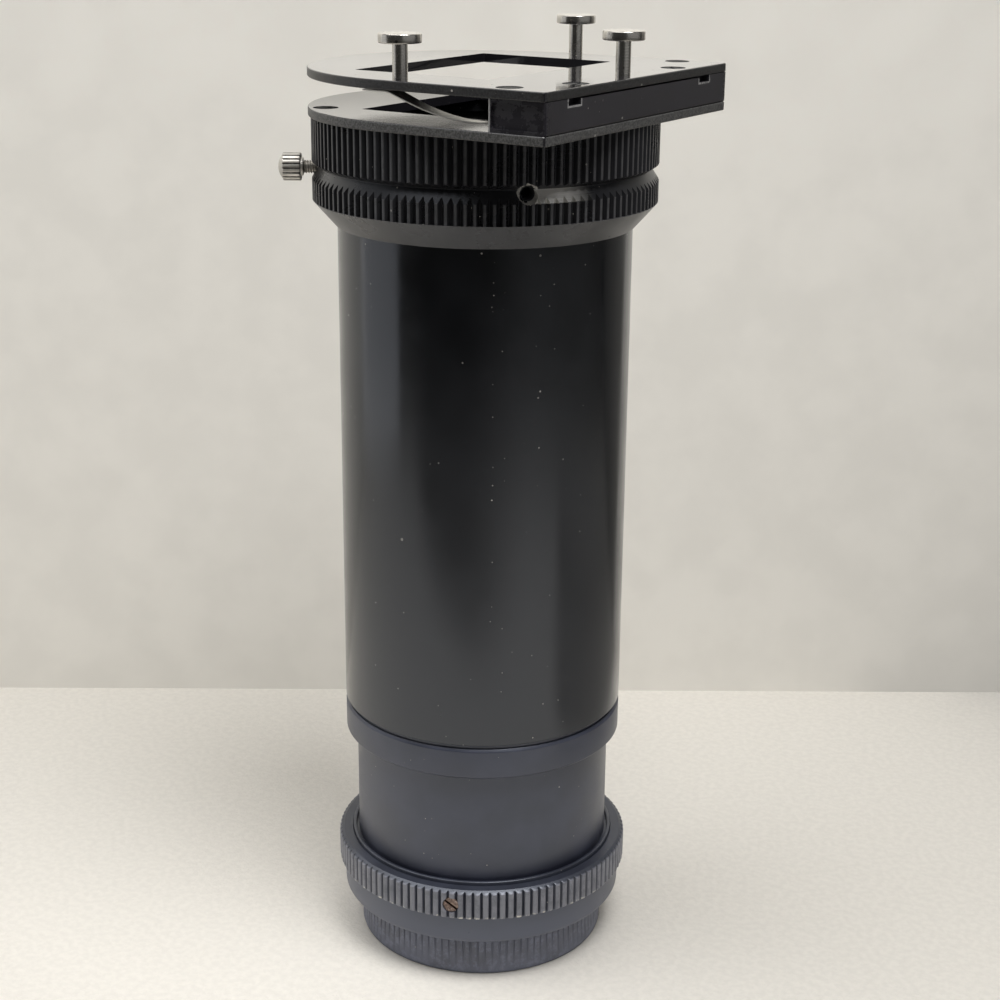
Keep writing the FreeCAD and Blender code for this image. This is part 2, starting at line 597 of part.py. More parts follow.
def stop_block():
    """Bar between the plates: spacer at the square end and stop for the slide."""
    half = PLATE_ROUND - BLOCK_SETBACK
    notch = half - NOTCH_INSET
    outer = PLATE_REACH
    block = Part.makeBox(BLOCK_WIDTH, 2 * half, STAGE_GAP, V(BLOCK_FACE, -half, Z_GATE))
    rims = [e for e in block.Edges if e.BoundBox.ZLength > STAGE_GAP - NEAR or
            (e.BoundBox.ZMax < Z_GATE + NEAR and e.BoundBox.XMin > outer - NEAR)]
    block = block.makeChamfer(BLOCK_EDGE, rims)
    cuts = [block_pocket(side) for side in (-1, 1)]
    for side in (-1, 1):
        cuts.append(Part.makeBox(NOTCH_REACH, NOTCH_WIDTH, NOTCH_DEPTH,
                                 V(outer - NOTCH_REACH, side * notch - NOTCH_WIDTH / 2,
                                   Z_UPPER - NOTCH_DEPTH)))
    cuts.append(Part.makeBox(RELIEF_REACH, 2 * notch, RELIEF_DEPTH,
                             V(outer - RELIEF_REACH, -notch, Z_UPPER - RELIEF_DEPTH)))
    cuts += [rod(SCREW_RADIUS + SEAT_GAP, Z_GATE, Z_UPPER, x, y) for x, y in block_screw_places()]
    cuts.append(rod(POST_RADIUS + SEAT_GAP, Z_UPPER - END_POST_DEPTH - FACE_GAP, Z_UPPER,
                    *post_place(0)))
    return block.cut(cuts)


def post(angle):
    """Headed post that holds a filter over the plate; the side posts end flush under the plate."""
    top = Z_PLATE_TOP + POST_CLEAR + POST_HEAD_HEIGHT
    rim = POST_HEAD_RADIUS - POST_HEAD_EDGE
    head = [(0, top), (rim, top), (POST_HEAD_RADIUS, top - POST_HEAD_EDGE),
            (POST_HEAD_RADIUS, top - POST_HEAD_HEIGHT + POST_HEAD_EDGE), (rim, top - POST_HEAD_HEIGHT),
            (POST_RADIUS, top - POST_HEAD_HEIGHT)]
    foot = Z_UPPER - (END_POST_DEPTH if angle == 0 else 0)
    shape = revolve(head + [(POST_RADIUS, foot), (0, foot)])
    x, y = post_place(angle)
    shape.translate(V(x, y, 0))
    return shape


def strip_side(run, x, z, offset):
    """Edges along one side of a bent strip, and its two end points."""
    heading = 0.0
    edges, start = [], V(x, 0, z + offset)
    for length, turn in run:
        turn_rad = radians(turn)
        if turn_rad:
            radius = length / turn_rad
            cx, cz = x - radius * sin(heading), z + radius * cos(heading)

            def at(angle):
                reach = radius - offset
                return V(cx + reach * sin(angle), 0, cz - reach * cos(angle))

            end = at(heading + turn_rad)
            edges.append(Part.Arc(start, at(heading + turn_rad / 2), end).toShape())
            heading += turn_rad
            x, z = cx + radius * sin(heading), cz - radius * cos(heading)
        else:
            x, z = x + length * cos(heading), z + length * sin(heading)
            end = V(x - offset * sin(heading), 0, z + offset * cos(heading))
            edges.append(Part.makeLine(start, end))
        start = end
    first = edges[0].Vertexes[0].Point
    return edges, first, start


def leaf_run():
    """Lengths and turns of the strip, so that it drops from its tab to the gate."""
    slope = radians(LEAF_SLOPE)
    bend_z = sum(LEAF_BENDS) * (1 - cos(slope)) / slope
    drop = Z_LEAF - LEAF_THICK / 2 - LEAF_LIFT - Z_GATE
    straight = (drop - bend_z) / sin(slope)
    first, second = LEAF_BENDS
    return ((LEAF_TAB, 0.0), (first, -LEAF_SLOPE), (straight, 0.0), (second, LEAF_SLOPE), LEAF_TIP)


def leaf_start():
    """X of the tab's free end, so that the curled tip stops short of the block."""
    slope, curl = radians(LEAF_SLOPE), radians(LEAF_TIP[1])
    tab, _, (straight, _), _, _ = leaf_run()
    reach = tab[0] + sum(LEAF_BENDS) * sin(slope) / slope + straight * cos(slope)
    return BLOCK_FACE - LEAF_TIP_GAP - LEAF_TIP[0] * sin(curl) / curl - reach


def leaf_plan(start):
    """Prism with the strip's outline from above: a straight tab, then an even taper to the tip."""
    wide, narrow = LEAF_WIDTH / 2, LEAF_TIP_WIDTH / 2
    tab_end, tip = start + LEAF_TAB, BLOCK_FACE - LEAF_TIP_GAP
    corners = [(start - CUT_OVER, wide), (tab_end, wide), (tip, narrow), (tip + CUT_OVER, narrow)]
    outline = corners + [(x, -y) for x, y in corners[::-1]]
    wire = Part.makePolygon([V(x, y, Z_GATE) for x, y in outline + outline[:1]])
    return Part.Face(wire).extrude(V(0, 0, STAGE_GAP))


def leaf_spring(side):
    """Bent, tapered strip welded under the plate by its tab; its curled end presses the slide on the gate."""
    half = LEAF_THICK / 2
    run = leaf_run()
    start = leaf_start()
    _, centre = post_place(90 * side)
    upper, upper_start, upper_end = strip_side(run, start, Z_LEAF, half)
    lower, lower_start, lower_end = strip_side(run, start, Z_LEAF, -half)
    ends = [Part.makeLine(upper_end, lower_end), Part.makeLine(upper_start, lower_start)]
    wire = Part.Wire(Part.__sortEdges__(upper + lower + ends))
    leaf = Part.Face(wire).extrude(V(0, LEAF_WIDTH, 0))
    leaf.translate(V(0, -LEAF_WIDTH / 2, 0))
    leaf = leaf.common(leaf_plan(start))
    leaf.translate(V(0, centre, 0))
    return leaf


# ---- all nodes ----------------------------------------------------------------------------------
def build():
    return {
        "rear_cap": rear_cap(),
        "mount_ring": mount_ring(),
        "mount_set_screws": mount_set_screws(),
        "inner_mount_ring": inner_mount_ring(),
        "rear_tube": rear_tube(),
        "end_collar": end_collar(),
        "main_tube": main_tube(),
        "lens_board": lens_board(),
        "board_lock_ring": board_lock_ring(),
        "lens_barrel": lens_barrel(),
        "barrel_nut": barrel_nut(),
        "front_element": lens_element(LENS["front_rim"], 1),
        "rear_element": lens_element(LENS["rear_rim"], -1),
        "aperture_stop": lens_ring(STOP_APERTURE, LENS["stop"], STOP_HEIGHT),
        "front_spacer": lens_ring(LENS_CLEAR, LENS["stop"] + STOP_HEIGHT, SPACER_HEIGHT),
        "rear_spacer": lens_ring(LENS_CLEAR, LENS["ledge"] - SPACER_HEIGHT, SPACER_HEIGHT),
        "front_retainer": retainer(LENS["front_rim"] + LENS_RIM, LENS["top"] - BARREL_END),
        "rear_retainer": retainer(LENS["rear_rim"] - RETAINER_HEIGHT,
                                  LENS["rear_rim"] - RETAINER_HEIGHT + KEY_SLOT[1]),
        "head_ring": head_ring(),
        "clamp_shoe": clamp_shoe(),
        "thumb_screw": thumb_screw(),
        "lower_plate": lower_plate(),
        "lower_plate_screws": slotted_screws(Z_GATE, LOWER_SCREW_LENGTH, lower_screw_places()),
        "stop_block": stop_block(),
        "upper_plate": upper_plate(),
        "upper_plate_screws": slotted_screws(Z_PLATE_TOP, block_screw_length(), block_screw_places()),
        "end_post": post(0),
        "side_posts": Part.makeCompound([post(-90), post(90)]),
        "leaf_spring_left": leaf_spring(-1),
        "leaf_spring_right": leaf_spring(1),
    }


os.makedirs("parts", exist_ok=True)
for name, shape in build().items():
    shape.exportStep("parts/" + name + ".step")
    print("%-20s solids %d  valid %s  volume %.1f" % (name, len(shape.Solids), shape.isValid(), shape.Volume))
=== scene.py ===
"""Slide duplicator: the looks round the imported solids.

A black anodised tube with a relay lens stands on its rear cap. On top sit a knurled head ring and a
slide stage of two plates. Lengths in outlines are millimetres, Blender's own are metres.
"""
from math import cos, hypot, pi, radians, sin, sqrt

import bmesh
import bpy
from mathutils import Matrix, Vector


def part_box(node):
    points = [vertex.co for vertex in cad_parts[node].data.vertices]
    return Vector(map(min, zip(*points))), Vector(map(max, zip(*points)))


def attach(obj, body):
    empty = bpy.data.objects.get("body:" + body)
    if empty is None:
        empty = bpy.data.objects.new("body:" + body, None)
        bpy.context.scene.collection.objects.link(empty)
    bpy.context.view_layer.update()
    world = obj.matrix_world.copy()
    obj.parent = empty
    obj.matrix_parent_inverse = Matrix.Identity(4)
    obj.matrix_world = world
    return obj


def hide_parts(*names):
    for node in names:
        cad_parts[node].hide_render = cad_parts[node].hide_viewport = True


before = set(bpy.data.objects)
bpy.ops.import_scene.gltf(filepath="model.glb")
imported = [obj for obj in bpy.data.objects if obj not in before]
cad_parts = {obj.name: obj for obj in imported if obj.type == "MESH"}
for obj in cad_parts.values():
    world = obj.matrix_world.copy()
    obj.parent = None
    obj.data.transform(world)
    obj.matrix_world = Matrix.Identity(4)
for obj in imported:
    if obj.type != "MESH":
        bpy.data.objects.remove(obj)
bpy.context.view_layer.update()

bl_info = {
    "name": "Slide Duplicator",
    "version": (1, 0, 0),
    "blender": (4, 5, 0),
    "location": "View3D > Sidebar > Duplicator",
    "description": "Builds a slide duplicator piece by piece round its packed solids",
    "category": "Add Mesh",
}

MM = 0.001
STEPS = 256               # columns round the large turned pieces
FINE_STEPS = 64           # columns round screws and posts
MERGE = 1e-6              # metres
CAMERA_TURN = radians(33.2)    # the lens looks along the middle of a corner of the stage
SET_SCREWS = [radians(a) for a in (-68.6, 51.4, 171.4)]
CLAMP = radians(-147.0)        # where the thumb screw sits round the head ring
SPARE_HOLE = radians(-43.3)    # where the empty clamp hole sits round the head ring
CLAMP_HEIGHT = 150.15          # height of both clamp holes
CONE_TOP = 145.0               # the cone of the head ring ends here and closes the grooves
TUBE_SEAT = 26.55              # bore of the head ring over the main tube
GROOVE_FOOT, GROOVE_BOTTOM = 148.6, 150.85    # the V groove of the head ring, where its holes are
KNURL_FOOT = 14.3              # the mount is knurled above this height and smooth below
THUMB_RADIUS, THUMB_END = 2.5, 36.05    # knurled head of the thumb screw and the end of its knurl
NOTCH_PLACE, NOTCH_HALF = 22.4, 1.95    # middle and half width of the notches in the stop block
SCREW_CIRCLE = 28.375          # radius at which the lower plate is screwed to the head ring
SET_SCREW_HEIGHT = 17.1        # the set screws point into the groove of the inner mount ring
PLATE_ROUND, PLATE_SQUARE = 31.3, 31.4    # radius of the plates' round end, reach of their square end
TAPPED, POST_HOLE, CLAMP_HOLE = 1.03, 1.3, 1.25    # radii of the holes for screws, posts and clamps
THREAD_ROOT, STUB = 18.6, 21.0    # bore and radius of the mount's threaded stub and the rear tube's foot
CLEAR_RADIUS = 8.2             # polished part of both lens elements


def linear(code):
    """Linear RGB of an sRGB hex colour."""
    parts = [int(code[i:i + 2], 16) / 255 for i in (1, 3, 5)]
    return tuple(c / 12.92 if c <= 0.04045 else ((c + 0.055) / 1.055) ** 2.4 for c in parts)


def tone(base, factor=1.0):
    """Opaque linear colour, darker or lighter by a factor, from a hex code or one of the user's colours."""
    base = linear(base) if base[0] == "#" else getattr(bpy.context.scene.duplicator_colours, base)
    return (*[min(1.0, c * factor) for c in base], 1.0)


LENS_BLACK = "#181819"     # finer and darker anodising on the lens's own metal
OXIDE = tone("#edf3ff")    # the dyed oxide mirrors a little more blue than red


# ---- colours and sizes that a user would change ---------------------------------------------------
def paint(name, description, code):
    return bpy.props.FloatVectorProperty(
        name=name, description=description, subtype="COLOR", size=3, min=0, max=1, default=linear(code))


def length(name, description, millimetres):
    return bpy.props.FloatProperty(
        name=name, description=description, unit="LENGTH", subtype="DISTANCE", min=0,
        precision=5, default=millimetres * MM)


def count(name, description, number):
    return bpy.props.IntProperty(name=name, description=description, min=3, default=number)


def watts(name, description, number):
    return bpy.props.FloatProperty(name=name, description=description, unit="POWER", min=0, default=number)


def span(node):
    """Lowest and highest height of a solid, in millimetres."""
    return [corner.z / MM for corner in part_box(node)]


def reach(node):
    """Outer radius of a turned solid, in millimetres."""
    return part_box(node)[1].y / MM


class DuplicatorColours(bpy.types.PropertyGroup):
    tube: paint("Tube", "Black anodising of the main tube", "#0e0f12")
    collar: paint("Collar", "Anodising of the collar and the rear tube", "#343745")
    head: paint("Head ring", "Anodising of the knurled head ring", "#1d1d1f")
    mount: paint("Mount", "Blue-black anodising of the camera mount", "#31343f")
    cap: paint("Cap", "Moulded plastic of the rear cap", "#666a79")
    enamel: paint("Enamel", "Black enamel of the stage plates and the block", "#222125")
    bare: paint("Bare aluminium", "Metal that shows where the anodising is worn off", "#c9c7c2")
    nickel: paint("Nickel", "Nickel plating of the posts", "#c4c1bb")
    steel: paint("Spring steel", "Polished leaf springs", "#e0ded8")
    brass: paint("Brass", "Set screws of the mount, gone brown", "#8f7d75")
    dust: paint("Dust", "Lint and dust on the black finishes", "#b9b6b0")
    floor: paint("Floor", "Paper that the duplicator stands on", "#ebe7df")
    wall: paint("Backdrop", "Card behind the duplicator", "#d8d5ce")


class TubeSizes(bpy.types.PropertyGroup):
    neck_depth: length("Neck depth", "Depth of the groove between collar and main tube", 0.65)
    neck_height: length("Neck height", "Height of that groove", 0.8)
    collar_break: length("Collar edge", "Broken edge at the crown of the collar", 0.35)
    tube_wall: length("Tube wall", "Wall of the main tube above the lens", 2.5)
    lip_round: length("Lip rounding", "Rounding of the inner mount ring's lip", 0.25)


class KnurlSizes(bpy.types.PropertyGroup):
    head_ribs: count("Head ribs", "Ribs round the head ring", 120)
    head_depth: length("Head rib depth", "Depth of the grooves in the head ring", 0.65)
    mount_ribs: count("Mount ribs", "Ribs round the camera mount", 111)
    mount_depth: length("Mount rib depth", "Depth of the grooves in the camera mount", 0.6)
    cap_ribs: count("Cap ribs", "Ribs round the rear cap", 108)
    cap_depth: length("Cap rib depth", "Depth of the grooves in the rear cap at its rim", 0.3)
    thumb_ribs: count("Thumb screw ribs", "Ribs round the thumb screw", 18)
    thread_pitch: length("Thread pitch", "Pitch of the thumb screw's thread", 0.45)


class StageSizes(bpy.types.PropertyGroup):
    plate_thick: length("Plate", "Thickness of the stage plates", 1.6)
    plate_edge: length("Plate edge", "Broken edge round the plates", 0.25)
    window_width: length("Window width", "Short side of both windows", 27.5)
    upper_window: length("Upper window", "Long side of the window in the upper plate", 40.0)
    lower_window: length("Lower window", "Long side of the window in the lower plate", 36.5)
    post_radius: length("Post shank", "Radius of the post shanks", 1.27)
    leaf_thick: length("Leaf thickness", "Thickness of the leaf springs", 0.25)
    leaf_tip: length("Leaf tip", "Width of the leaf springs at their tips", 1.9)


class StudioSizes(bpy.types.PropertyGroup):
    wall_distance: length("Backdrop distance", "From the tube's axis to the backdrop", 108.0)
    key_power: watts("Key lamp", "Power of the soft lamp above", 11.5)
    fill_power: watts("Fill lamp", "Power of the second soft lamp above", 9.0)
    right_power: watts("Right panel", "Power of the weak panel on the right", 0.4)
    side_power: watts("Side panel", "Power of the panel on the left", 0.185)
    ambient: bpy.props.FloatProperty(
        name="Ambient", description="Strength of the room's own light", min=0, default=0.05)


# ---- modelling helpers ----------------------------------------------------------------------------
def release():
    """Leave edit mode and deselect everything."""
    if bpy.context.mode != "OBJECT":
        bpy.ops.object.mode_set(mode="OBJECT")
    bpy.ops.object.select_all(action="DESELECT")


def pick(piece):
    """Make a piece the only selected and the active object."""
    release()
    piece.select_set(True)
    bpy.context.view_layer.objects.active = piece


def blank(name):
    """New object with an empty mesh, left in edit mode."""
    release()
    bpy.ops.mesh.primitive_plane_add(size=MM)
    piece = bpy.context.object
    piece.name = piece.data.name = name
    bpy.ops.object.mode_set(mode="EDIT")
    bpy.ops.mesh.select_all(action="SELECT")
    bpy.ops.mesh.delete(type="VERT")
    return piece


def chain(points):
    """Extrude one new vertex from point to point, all in metres."""
    bpy.ops.mesh.primitive_plane_add(size=MM, location=points[0])
    bpy.ops.mesh.merge(type="CENTER")
    for here, there in zip(points, points[1:]):
        bpy.ops.mesh.extrude_vertices_move(
            TRANSFORM_OT_translate={"value": [b - a for a, b in zip(here, there)]})


def soften(outline, bits=4):
    """Round each corner that names a length: (radius, height, length of the rounding)."""
    points = []
    for i, corner in enumerate(outline):
        if len(corner) == 2:
            points.append(corner)
            continue
        here = Vector(corner[:2])
        before = Vector(outline[i - 1][:2]) - here
        after = Vector(outline[(i + 1) % len(outline)][:2]) - here
        enter, leave = here + before.normalized() * corner[2], here + after.normalized() * corner[2]
        for k in range(bits + 1):
            t = k / bits
            points.append(tuple(enter * (1 - t) ** 2 + here * 2 * t * (1 - t) + leave * t ** 2))
    return points


def fill_chain():
    """Close a ring of edges with one face, in edit mode."""
    bpy.ops.mesh.select_all(action="SELECT")
    bpy.ops.mesh.remove_doubles(threshold=MERGE)
    bpy.ops.mesh.edge_face_add()


def settle(piece, sharp=30):
    """Merge doubles, turn faces outwards, leave edit mode and shade smooth up to an angle."""
    bpy.ops.mesh.select_all(action="SELECT")
    bpy.ops.mesh.remove_doubles(threshold=MERGE)
    bpy.ops.mesh.normals_make_consistent(inside=False)
    bpy.ops.object.mode_set(mode="OBJECT")
    bpy.ops.object.shade_smooth_by_angle(angle=radians(sharp))
    return piece


def turned(name, outline, steps=STEPS, closed=True):
    """Spin an outline of (radius, height) about Z. An open one starts and ends on the axis."""
    piece = blank(name)
    points = soften(outline)
    if closed:
        points = points + points[:1]
    chain([(r * MM, 0, z * MM) for r, z in points])
    bpy.ops.mesh.select_all(action="SELECT")
    bpy.ops.mesh.spin(steps=steps, angle=2 * pi, center=(0, 0, 0), axis=(0, 0, 1))
    return settle(piece)


def select_places(piece, places):
    """Select the vertices at these places, in edit mode."""
    bpy.ops.mesh.select_all(action="DESELECT")
    mesh = bmesh.from_edit_mesh(piece.data)
    for place in places:
        min(mesh.verts, key=lambda v: (v.co - place).length_squared).select = True
    mesh.select_flush(True)
    bmesh.update_edit_mesh(piece.data)


def grooved(outline, groove):
    """The outline with a point wherever it crosses the grooves' radius, and its place in a groove."""
    land = [outline[0]]
    for a, b in zip(outline, outline[1:]):
        if (a[0] - groove) * (b[0] - groove) < 0:
            share = (groove - a[0]) / (b[0] - a[0])
            land.append((groove, a[1] + (b[1] - a[1]) * share))
        land.append(b)
    valley = list(land)
    for i, point in enumerate(land):
        if point[0] > groove:
            before = next(p for p in land[i::-1] if p[0] <= groove)
            after = next(p for p in land[i:] if p[0] <= groove)
            valley[i] = min(before, after, key=lambda p: abs(p[1] - point[1]))
    return land, valley


def ribbed(name, land, valley, number, columns):
    """One rib is skinned between columns (share of the pitch, depth 0 to 1) and copied round Z."""
    piece = blank(name)
    pitch = 2 * pi / number
    rows = []
    for share, depth in columns + [(columns[0][0] + 1, columns[0][1])]:
        turn = share * pitch
        row = []
        for (r0, z0), (r1, z1) in zip(land, valley):
            r, z = (r0 + (r1 - r0) * depth) * MM, (z0 + (z1 - z0) * depth) * MM
            row.append(Vector((r * cos(turn), r * sin(turn), z)))
        rows.append(row)
        chain([tuple(p) for p in row])
    bpy.ops.mesh.select_all(action="SELECT")
    bpy.ops.mesh.remove_doubles(threshold=MERGE)
    for near, far in zip(rows, rows[1:]):
        for i in range(len(near) - 1):
            corners = []
            for place in (near[i], near[i + 1], far[i + 1], far[i]):
                if all((place - other).length > 2 * MERGE for other in corners):
                    corners.append(place)
            if len(corners) > 2:
                select_places(piece, corners)
                bpy.ops.mesh.edge_face_add()
    bpy.ops.mesh.select_all(action="SELECT")
    bpy.ops.mesh.spin(steps=number - 1, angle=2 * pi * (number - 1) / number, dupli=True,
                      center=(0, 0, 0), axis=(0, 0, 1))
    return settle(piece)


def set_in(piece, matrix):
    """Put a finished piece in its place and leave its object at the origin."""
    pick(piece)
    piece.matrix_world = matrix
    bpy.ops.object.transform_apply(location=True, rotation=True, scale=True)
    return piece


def radial(angle, height):
    """Matrix that points +Z outwards at this angle and height."""
    lift = Matrix.Translation((0, 0, height * MM))
    return lift @ Matrix.Rotation(angle, 4, "Z") @ Matrix.Rotation(pi / 2, 4, "Y")


def upright(x, y):
    return Matrix.Translation((x * MM, y * MM, 0))


def box_piece(name, low, high):
    """Cube added at its size and place, from corner to corner in millimetres, left in object mode."""
    release()
    size = [(b - a) * MM for a, b in zip(low, high)]
    middle = [(a + b) / 2 * MM for a, b in zip(low, high)]
    bpy.ops.mesh.primitive_cube_add(size=1, location=middle, scale=size)
    piece = bpy.context.object
    piece.name = piece.data.name = name
    bpy.ops.object.transform_apply(location=True, rotation=True, scale=True)
    return piece


def cut(piece, *cutters):
    """Take these cutters out of a piece and remove them."""
    for cutter in cutters:
        step = piece.modifiers.new("cut", "BOOLEAN")
        step.operation = "DIFFERENCE"
        step.solver = "EXACT"
        step.object = cutter
        bpy.context.view_layer.objects.active = piece
        bpy.ops.object.modifier_apply(modifier=step.name)
        bpy.data.objects.remove(cutter)
    return piece


def bore_out(piece, matrix, *outline):
    """Cut a round hole of this outline out of a piece, along the matrix's Z."""
    return cut(piece, set_in(turned("hole", outline, FINE_STEPS, closed=False), matrix))


def drill(piece, matrix, radius, low, high):
    """Cut a plain hole from one place to another along the matrix's Z."""
    return bore_out(piece, matrix, (0, low), (radius, low), (radius, high), (0, high))


def slotted(piece, top, half_length, angle):
    """Cut a screwdriver slot into the top of an upright screw."""
    half_width, depth = 0.225, 0.7
    cutter = box_piece("slot", (-half_length, -half_width, top - depth), (half_length, half_width, top + 1))
    return cut(piece, set_in(cutter, Matrix.Rotation(radians(angle), 4, "Z")))


def smooth_again(piece, sharp=30):
    pick(piece)
    bpy.ops.object.shade_smooth_by_angle(angle=radians(sharp))
    return piece


def bevel_edges(piece, test, width, segments=3):
    """Bevel the edges whose two ends pass the test, in millimetres."""
    pick(piece)
    bpy.ops.object.mode_set(mode="EDIT")
    bpy.ops.mesh.select_mode(type="EDGE")
    bpy.ops.mesh.select_all(action="DESELECT")
    mesh = bmesh.from_edit_mesh(piece.data)
    for edge in mesh.edges:
        edge.select = test(*[v.co / MM for v in edge.verts])
    bmesh.update_edit_mesh(piece.data)
    bpy.ops.mesh.bevel(offset=width * MM, offset_type="OFFSET", segments=segments, affect="EDGES")
    bpy.ops.mesh.select_mode(type="VERT")
    bpy.ops.object.mode_set(mode="OBJECT")
    return piece


def join(piece, *others):
    pick(piece)
    for other in others:
        other.select_set(True)
    bpy.ops.object.join()
    return piece


def copies(model, places):
    """Copy a model to each named place, each copy with its own mesh, and remove the model."""
    made = []
    for name, matrix in places:
        pick(model)
        bpy.ops.object.duplicate(linked=False)
        piece = bpy.context.object
        piece.name = piece.data.name = name
        made.append(set_in(piece, matrix))
    bpy.data.meshes.remove(model.data)
    return made


def cover(piece, material):
    piece.data.materials.clear()
    piece.data.materials.append(material)


def fit(piece, body, slot, material, *nodes):
    """Give a finished piece its material and its body, and hide the solids it stands for. The slot is not
    used.
    """
    cover(piece, material)
    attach(piece, body)
    if nodes:
        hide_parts(*nodes)


# ---- materials ------------------------------------------------------------------------------------
def add(tree, kind, inputs=(), out=0, **settings):
    """Add a node with its settings. Inputs, by name or in order, are values or the sockets that feed it."""
    made = tree.nodes.new("ShaderNode" + kind)
    for key, value in settings.items():
        setattr(made, key, value)
    for key, value in inputs.items() if isinstance(inputs, dict) else enumerate(inputs):
        if isinstance(value, bpy.types.NodeSocket):
            tree.links.new(value, made.inputs[key])
        else:
            made.inputs[key].default_value = value
    return made.outputs[out] if made.outputs else made


def start(name):
    """New material, its empty tree and the place on the object that its patterns follow."""
    material = bpy.data.materials.new(name)
    material.use_nodes = True
    tree = material.node_tree
    tree.nodes.clear()
    return material, tree, add(tree, "TexCoord", (), "Object")


def close(material, inputs, relief=None, depth=0.0):
    """End a material in a Principled shader, with a relief of this depth in millimetres."""
    tree = material.node_tree
    if relief:
        inputs["Normal"] = add(tree, "Bump", {"Height": relief, "Distance": depth * MM})
    add(tree, "OutputMaterial", {"Surface": add(tree, "BsdfPrincipled", inputs)})
    return material


def every(size):
    """Scale of a pattern that repeats about every so many millimetres."""
    return 1 / (size * MM)


def overlap(tree, *masks):
    """1 where all the masks are 1."""
    whole = masks[0]
    for mask in masks[1:]:
        whole = add(tree, "Math", (whole, mask), operation="MULTIPLY")
    return whole


def layered(tree, colour, *coats):
    """Coats laid over a colour in turn, each as (mask, colour)."""
    for mask, coat in coats:
        colour = add(tree, "Mix", {0: mask, 6: colour, 7: coat}, 2, data_type="RGBA")
    return colour


def mottled(tree, place, size, first, second, low=0.3, high=0.7):
    """Two colours that run into each other in blotches of this size, and the blotches themselves."""
    noise = add(tree, "TexNoise", {"Vector": place, "Scale": every(size), "Detail": 3.0})
    step = add(tree, "MapRange", {"Value": noise, "From Min": low, "From Max": high},
               interpolation_type="SMOOTHSTEP")
    return layered(tree, first, (step, second)), step


def patches(tree, place, size, low, high, weakest=0.0):
    """Ragged patches of about this size: weakest outside them, 1 inside."""
    noise = add(tree, "TexNoise", {"Vector": place, "Scale": every(size), "Detail": 5.0, "Roughness": 0.7})
    return add(tree, "MapRange", {"Value": noise, "From Min": low, "From Max": high, "To Min": weakest},
               interpolation_type="SMOOTHSTEP")


def specks(tree, place, spacing, size, share):
    """Round specks up to this size, on a share of cells this far apart: 0 outside, 1 on the palest."""
    cells = add(tree, "TexVoronoi", {"Vector": place, "Scale": every(spacing)})
    chance = add(tree, "SeparateColor", (cells.node.outputs["Color"],)).node.outputs
    edge = add(tree, "Math", (chance[1], size / spacing), operation="MULTIPLY")
    near = add(tree, "Math", (cells, edge), operation="LESS_THAN")
    some = add(tree, "Math", (chance[0], share), operation="LESS_THAN")
    return overlap(tree, near, chance[2], some)


def cylinder(tree, place):
    """Distance from the optical axis, angle round it and height, in millimetres and radians."""
    x, y, z = add(tree, "SeparateXYZ", (place,)).node.outputs
    flat = add(tree, "CombineXYZ", (x, y))
    across = add(tree, "VectorMath", (flat,), "Value", operation="LENGTH")
    turn = add(tree, "Math", (y, x), operation="ARCTAN2")
    return (add(tree, "Math", (across, 1 / MM), operation="MULTIPLY"), turn,
            add(tree, "Math", (z, 1 / MM), operation="MULTIPLY"))


def between(tree, value, low, high, soft):
    """1 where a value lies between two limits, with soft ends."""
    rise = add(tree, "MapRange", {"Value": value, "From Min": low, "From Max": low + soft},
               interpolation_type="SMOOTHSTEP")
    fall = add(tree, "MapRange", {"Value": value, "From Min": high, "From Max": high - soft},
               interpolation_type="SMOOTHSTEP")
    return add(tree, "Math", (rise, fall), operation="MULTIPLY")


def anodised_layers(tree, place, base, rough, lint, marks):
    """Colour, roughness and relief of turned aluminium, anodised black and handled.

    Turning marks are 0.1 mm apart on the real ones and drawn at 0.35 mm, or they wouldn't show.
    """
    colour, cloudy = mottled(tree, place, 9.0, tone(base, 0.8), tone(base, 1.25))
    small, large = specks(tree, place, 1.4, 0.17, lint), specks(tree, place, 6.5, 0.36, lint * 0.7)
    dirt = add(tree, "Math", (small, large), operation="MAXIMUM")
    colour = layered(tree, colour, (dirt, tone("dust")))
    long = add(tree, "Mapping", {"Vector": place, "Scale": (0.08, 0.08, 1.0)})
    lines = add(tree, "TexNoise", {"Vector": long, "Scale": every(0.35), "Detail": 3.0})
    scuffs = patches(tree, place, 2.6, 0.5, 0.8)
    satin = add(tree, "MapRange", {"Value": cloudy, "To Min": rough - 0.03, "To Max": rough + 0.04})
    for mark, share in ((lines, marks * 0.2), (scuffs, 0.05), (dirt, 0.4)):
        satin = add(tree, "Math", (mark, share, satin), operation="MULTIPLY_ADD")
    relief = add(tree, "Math", (lines, marks), operation="MULTIPLY")
    return colour, satin, add(tree, "Math", (dirt, 3.0, relief), operation="MULTIPLY_ADD")


def anodised(name, base, rough, lint, marks):
    """Black anodised aluminium: the clear oxide gives a satin sheen, the dye under it stays deep."""
    material, tree, place = start(name)
    colour, satin, relief = anodised_layers(tree, place, base, rough, lint, marks)
    return close(material, {"Base Color": colour, "Roughness": satin, "IOR": 1.77,
                            "Specular Tint": OXIDE}, relief, 0.004)


